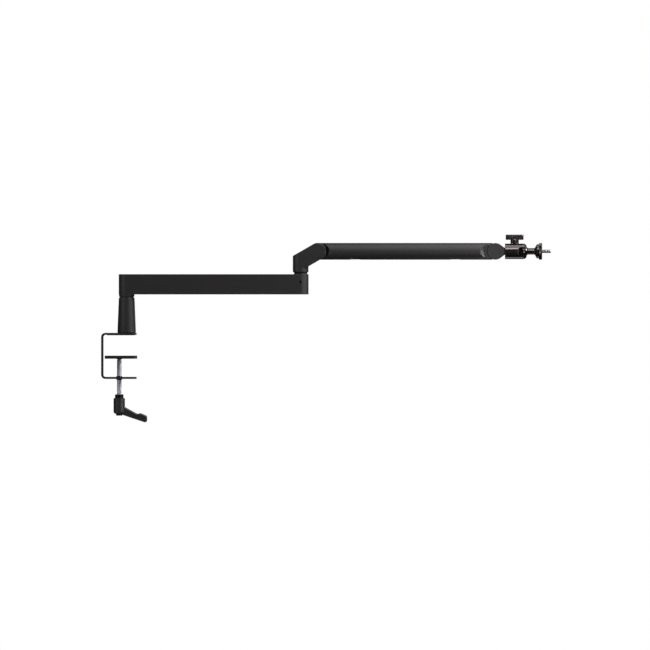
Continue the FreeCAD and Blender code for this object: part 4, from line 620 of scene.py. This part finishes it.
# Friction screw: a small black set screw deep in the side of the arm, turned with a hexagon key.
# It presses the friction pad on the pivot, which sets how stiffly the elbow turns.
brake_low, brake_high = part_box("friction_screw")
brake_length = (brake_high.y - brake_low.y) / mm
brake_radius = (brake_high.x - brake_low.x) / 2 / mm
brake_bevel = 0.2
brake_start = ((brake_low.x + brake_high.x) / 2, brake_low.y, (brake_low.z + brake_high.z) / 2)
turned("friction_screw", [brake_start], (0, 1, 0),
       socket(depth=2.8, flats=1.25, rim=1.6)
       + [(0, brake_radius - brake_bevel), (brake_bevel, brake_radius), (brake_length, brake_radius),
          (brake_length, 0)], black_oxide)

# Plug: a moulded nylon disc below the pivot of the elbow.
# It is pressed into the underside of the arm, over the bolt that keeps the pivot down.
eased("elbow_plug", 0.3, nylon)

# Elbow: cast aluminium, machined at its foot and fork and powder coated.
# It turns on a steel pivot in the arm, and the friction hinge in its fork carries the upper arm.
eased("elbow", 0.12, arm_coat)
dress(zinc, "elbow_pivot")
dress(black_oxide, "pivot_washer", "pivot_bolt", "hinge_axle", "hinge_nut", "hinge_spring")
dress(acetal, "hinge_washers", "hinge_bush")

# Hinge caps: thin moulded nylon discs.
# They snap into both sides of the fork, over the ends of the hinge's axle.
eased("hinge_caps", 0.3, nylon)

# Upper arm: a drawn aluminium tube, powder coated, with cast ends screwed in from below.
# The cable slot along its underside is closed by a snap-in cover of the same nylon as the lower one.
eased("upper_tube", 0.1, arm_coat)
eased("elbow_end_fitting", 0.12, arm_coat)
eased("head_end_fitting", 0.12, arm_coat)
eased("upper_cover", 0.1, nylon)
dress(acetal, "head_bush")

# Tube screws: four small black steel screws, two at each end of the tube.
# They hold the tube on its cast ends, with their flat heads let into its underside.
tube_screw_low, tube_screw_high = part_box("tube_screws")
head_radius = 2.8
head_height = 1
head_bevel = 0.3
tube_shank = 1.5
tube_screw_length = 8
screw_spacing = 12 * mm
first_x = tube_screw_low.x + head_radius * mm
last_x = tube_screw_high.x - head_radius * mm
screw_places = (first_x, first_x + screw_spacing, last_x - screw_spacing, last_x)
turned("tube_screws", [(x, 0, tube_screw_low.z) for x in screw_places], (0, 0, 1),
       socket(depth=1.5, flats=0.85, rim=1.2)
       + [(0, head_radius - head_bevel), (head_bevel, head_radius), (head_height, head_radius),
          (head_height, tube_shank), (tube_screw_length, tube_shank), (tube_screw_length, 0)], black_oxide)

# Head knuckle: cast and machined aluminium on a friction hinge, powder coated like the arm.
# A moulded cap covers the end of its axle at the back.
# A zinc plated stud with a 1/4 inch thread joins the ball head to it.
eased("head_knuckle", 0.1, arm_coat)
dress(black_oxide, "head_axle", "head_spring")
dress(acetal, "head_washers")
eased("head_cap", 0.2, nylon)
joint_low, joint_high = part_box("head_stud")
joint_length = (joint_high.x - joint_low.x) / mm
inch_pitch = 1.27
inch_radius = 3.175
inch_depth = 0.7
inch_bevel = 0.7
inch_end_radius = 2.5
turned("head_stud", [(joint_low.x, 0, (joint_low.z + joint_high.z) / 2)], (1, 0, 0),
       [(0, 0), (0, inch_end_radius), (inch_bevel, inch_radius)]
       + thread(inch_bevel, joint_length - inch_bevel, inch_radius, inch_pitch, inch_depth)
       + [(joint_length - inch_bevel, inch_radius), (joint_length, inch_end_radius), (joint_length, 0)],
       zinc, sides=40)

# Ball head: a slotted housing machined from aluminium, with a glossy black baked enamel.
# Its base is screwed to the knuckle, and the acetal cup inside presses on the ball.
enamel, tree, shader, place = new_finish("gloss_black_enamel_on_aluminium")
# Enamel is a deep black mirror with a faint brown cast, its skin just uneven enough to bend reflections.
skin = add(tree, "ShaderNodeTexNoise", {"Vector": place, "Scale": 1 / (4 * mm), "Detail": 2.0})
tone = add(tree, "ShaderNodeMix", {0: skin.outputs["Fac"], 6: linear("#090706"), 7: linear("#0e0c0b")},
           data_type="RGBA")
edge = add(tree, "ShaderNodeAttribute", attribute_name="rubbed").outputs["Fac"]
tone = add(tree, "ShaderNodeMix", {0: edge, 6: tone.outputs[2], 7: linear("#1b1918")}, data_type="RGBA")
gloss = add(tree, "ShaderNodeMapRange", {0: skin.outputs["Fac"], 3: 0.1, 4: 0.2})
relief = add(tree, "ShaderNodeBump", {"Height": skin.outputs["Fac"], "Strength": 0.06, "Distance": 0.2 * mm})
link_finish(tree, shader, tone, gloss, relief)
shader.inputs["IOR"].default_value = 1.5
shader.inputs["Specular Tint"].default_value = linear("#fff1ef")
eased("ball_housing", 0.1, enamel)
eased("housing_base", 0.2, enamel)
dress(acetal, "ball_cup")

# Locking knob: a T-shaped grip of glossy plastic, with ribs along its bar for the fingers.
# It is moulded on a zinc plated screw, which presses the cup on the ball.
knob_plastic, tree, shader, place = new_finish("gloss_black_abs_moulded")
# Moulded ABS shines a little less than the enamel, with soft flow marks.
flow = add(tree, "ShaderNodeTexNoise", {"Vector": place, "Scale": 1 / (5 * mm), "Detail": 3.0})
tone = add(tree, "ShaderNodeMix", {0: flow.outputs["Fac"], 6: linear("#0a0908"), 7: linear("#100e0d")},
           data_type="RGBA")
gloss = add(tree, "ShaderNodeMapRange", {0: flow.outputs["Fac"], 3: 0.15, 4: 0.24})
relief = add(tree, "ShaderNodeBump", {"Height": flow.outputs["Fac"], "Strength": 0.08, "Distance": 0.15 * mm})
link_finish(tree, shader, tone, gloss, relief)
shader.inputs["IOR"].default_value = 1.53
shader.inputs["Specular Tint"].default_value = linear("#fff1ef")
knob_low, knob_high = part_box("knob_grip")
knob_x = (knob_low.x + knob_high.x) / 2
bar_half = (knob_high.x - knob_low.x) / 2 / mm
bar_end = 5.3
bar_height = 9.2
bar_edge = 1.2
rib_pitch = 3.2
rib_depth = 0.6
rib_count = 7
stem_radius = 7.4
bar_side = bar_half - bar_end
# The walk goes round the bar, with each point's place and the way out of the bar there.
walk_step = 0.2
end_steps = 24
edge_steps = 6
walk = [(bar_side - step * walk_step, bar_end, 0, 1) for step in range(int(2 * bar_side / walk_step))]
for step in range(end_steps):
    turn = step * math.pi / end_steps
    walk.append((-bar_side - bar_end * math.sin(turn), bar_end * math.cos(turn),
                 -math.sin(turn), math.cos(turn)))
walk += [(-x, -y, -out_x, -out_y) for x, y, out_x, out_y in walk]
rounding = []
for step in range(edge_steps + 1):
    turn = step * math.pi / 2 / edge_steps
    rounding.append((bar_edge * (1 - math.cos(turn)), bar_edge * (1 - math.sin(turn))))
shape = bmesh.new()
rings = [[shape.verts.new((knob_x, 0, knob_high.z - bar_height * mm))]]
for height, inset in rounding + [(bar_height - height, inset) for height, inset in reversed(rounding)]:
    ring = []
    for x, y, out_x, out_y in walk:
        along_rib = x / rib_pitch - round(x / rib_pitch)
        ribbed = abs(x) < (rib_count / 2) * rib_pitch and abs(out_y) == 1
        dip = inset + (rib_depth * 0.5 * (1 + math.cos(2 * math.pi * along_rib)) ** 2 / 2 if ribbed else 0)
        ring.append(shape.verts.new((knob_x + (x - out_x * dip) * mm, (y - out_y * dip) * mm,
                                     knob_high.z + (height - bar_height) * mm)))
    rings.append(ring)
rings.append([shape.verts.new((knob_x, 0, knob_high.z))])
join_rings(shape, rings)
stem_height = (knob_high.z - knob_low.z) / mm - bar_height
stem_hole = 2.5
stem_hole_depth = 2
stem_bevel = 0.15
shoulder_start = stem_height - 0.4
shoulder_end = stem_height + 1.4
shoulder_width = 1.8
stem_sides = 48
rings = []
for height, radius in ((stem_hole_depth, 0), (stem_hole_depth, stem_hole), (0, stem_hole),
                       (0, stem_radius - stem_bevel), (stem_bevel, stem_radius),
                       (shoulder_start, stem_radius), (shoulder_end, stem_radius - shoulder_width),
                       (shoulder_end, 0)):
    ring = []
    for step in range(stem_sides if radius else 1):
        turn = 2 * math.pi * step / stem_sides
        ring.append(shape.verts.new((knob_x + radius * mm * math.cos(turn), radius * mm * math.sin(turn),
                                     knob_low.z + height * mm)))
    rings.append(ring)
join_rings(shape, rings)
stand_skinned("knob_grip", shape, knob_plastic)
press_low, press_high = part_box("knob_screw")
press_length = (press_high.z - press_low.z) / mm
press_radius = (press_high.x - press_low.x) / 2 / mm
press_tip_radius = 1
press_tip = 1.5
press_bevel = 0.4
turned("knob_screw", [(knob_x, 0, press_low.z)], (0, 0, 1),
       [(0, 0), (0, press_tip_radius), (press_tip, press_radius)]
       + thread(press_tip, press_length - press_bevel, press_radius, pitch=0.8, depth=0.4)
       + [(press_length - press_bevel, press_radius), (press_length, press_radius - press_bevel),
          (press_length, 0)], zinc, sides=40)

# Ball stud: ball, neck and collar turned in one piece and enamelled like the housing.
# The neck swells out into the collar, whose flat face carries the microphone plate.
ball_low, ball_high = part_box("ball_stud")
collar_face = 27.5
collar_radius = 12.3
neck_radius = 5.7
thread_hole = 2.9
hole_depth = 9
ball_radius = (ball_high.x - ball_low.x) / mm - collar_face
ball_turn = math.pi - math.asin(neck_radius / ball_radius)
ball_steps = 30
ball_rows = []
for step in range(ball_steps + 1):
    turn = ball_turn * step / ball_steps
    ball_rows.append((-ball_radius * math.cos(turn), ball_radius * math.sin(turn)))
swell = [(10, neck_radius), (19.2, neck_radius), (19.6, neck_radius), (20.3, 6), (20.9, 6.8), (23, 10.8),
         (23.4, 11.5), (24, 12), (24.7, collar_radius), (24.9, collar_radius)]
turned("ball_stud", [(ball_high.x - collar_face * mm, 0, (ball_low.z + ball_high.z) / 2)], (1, 0, 0),
       ball_rows + swell
       + [(collar_face, collar_radius), (collar_face, thread_hole), (collar_face - hole_depth, thread_hole),
          (collar_face - hole_depth, 0)], enamel, sides=96)


# Microphone plate: a round plate with a knurled rim for the fingers, enamelled like the ball.
# The rubber pad glued on it has ring grooves, so that the microphone doesn't turn on it.
def knurl(teeth, depth):
    """Form of a rim with straight knurling."""
    def form(distance, share, radius):
        return radius - depth * abs(2 * (share * teeth % 1) - 1)
    return form


plate_low, plate_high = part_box("mic_plate")
plate_start = (plate_low.x, 0, (plate_low.z + plate_high.z) / 2)
plate_radius = (plate_high.z - plate_low.z) / 2 / mm
plate_length = (plate_high.x - plate_low.x) / mm
plate_hole = 3.2
bevel_start, bevel_end, knurl_start = 1.1, 0.5, 0.8
bevel_width = 0.55
rim = knurl(teeth=60, depth=0.45)
turned("mic_plate", [plate_start], (1, 0, 0),
       [(0, plate_hole), (0, plate_radius - bevel_start), (bevel_width, plate_radius - bevel_end),
        (knurl_start, plate_radius, rim), (plate_length - knurl_start, plate_radius, rim),
        (plate_length - bevel_width, plate_radius - bevel_end), (plate_length, plate_radius - bevel_start),
        (plate_length, plate_hole), (0, plate_hole)], enamel, sides=240)
pad_low, pad_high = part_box("plate_pad")
pad_radius = (pad_high.z - pad_low.z) / 2 / mm
pad_length = (pad_high.x - pad_low.x) / mm
pad_hole = 3.3
pad_bevel, hole_bevel = 0.4, 0.3
groove_radii = (12.2, 10.2, 8.2, 6.2)
groove_form = ((0.4, 0), (0.15, 0.5), (-0.15, 0.5), (-0.4, 0))
grooves = [(pad_length - drop, radius + shift) for radius in groove_radii for shift, drop in groove_form]
turned("plate_pad", [(pad_low.x, 0, plate_start[2])], (1, 0, 0),
       [(0, pad_hole), (0, pad_radius), (pad_length - pad_bevel, pad_radius),
        (pad_length, pad_radius - pad_bevel)]
       + grooves
       + [(pad_length, pad_hole + hole_bevel), (pad_length - hole_bevel, pad_hole), (0, pad_hole)],
       rubber, sides=96)

# Microphone stud: 1/4 inch steel thread, 20 to the inch, nickel plated.
# Its plain root is screwed into the stem of the ball, and the thread stands out for the microphone.
nickel, tree, shader, place = new_finish("nickel_plate_on_turned_steel")
# Nickel is a warmer and darker grey than zinc, with fine turning lines.
haze = add(tree, "ShaderNodeTexNoise", {"Vector": place, "Scale": 1 / (4 * mm), "Detail": 3.0})
tone = add(tree, "ShaderNodeMix", {0: haze.outputs["Fac"], 6: linear("#82827e"), 7: linear("#989893")},
           data_type="RGBA")
gloss = add(tree, "ShaderNodeMapRange", {0: haze.outputs["Fac"], 3: 0.4, 4: 0.5})
relief = add(tree, "ShaderNodeBump", {"Height": haze.outputs["Fac"], "Strength": 0.08, "Distance": 0.05 * mm})
link_finish(tree, shader, tone, gloss, relief)
shader.inputs["Metallic"].default_value = 1.0
stud_low, stud_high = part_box("mic_stud")
stud_length = (stud_high.x - stud_low.x) / mm
root_radius = 2.8
root_bevel = 0.4
thread_start = 9
thread_stop = stud_length - 0.8
point_start = stud_length - 0.7
point_radius, tip_radius = 3, 2.4
turned("mic_stud", [(stud_low.x, 0, plate_start[2])], (1, 0, 0),
       [(0, 0), (0, inch_end_radius), (root_bevel, root_radius), (thread_start - root_bevel, root_radius),
        (thread_start, inch_radius)]
       + thread(thread_start, thread_stop, inch_radius, inch_pitch, inch_depth)
       + [(point_start, point_radius), (stud_length, tip_radius), (stud_length, 0)], nickel, sides=40)
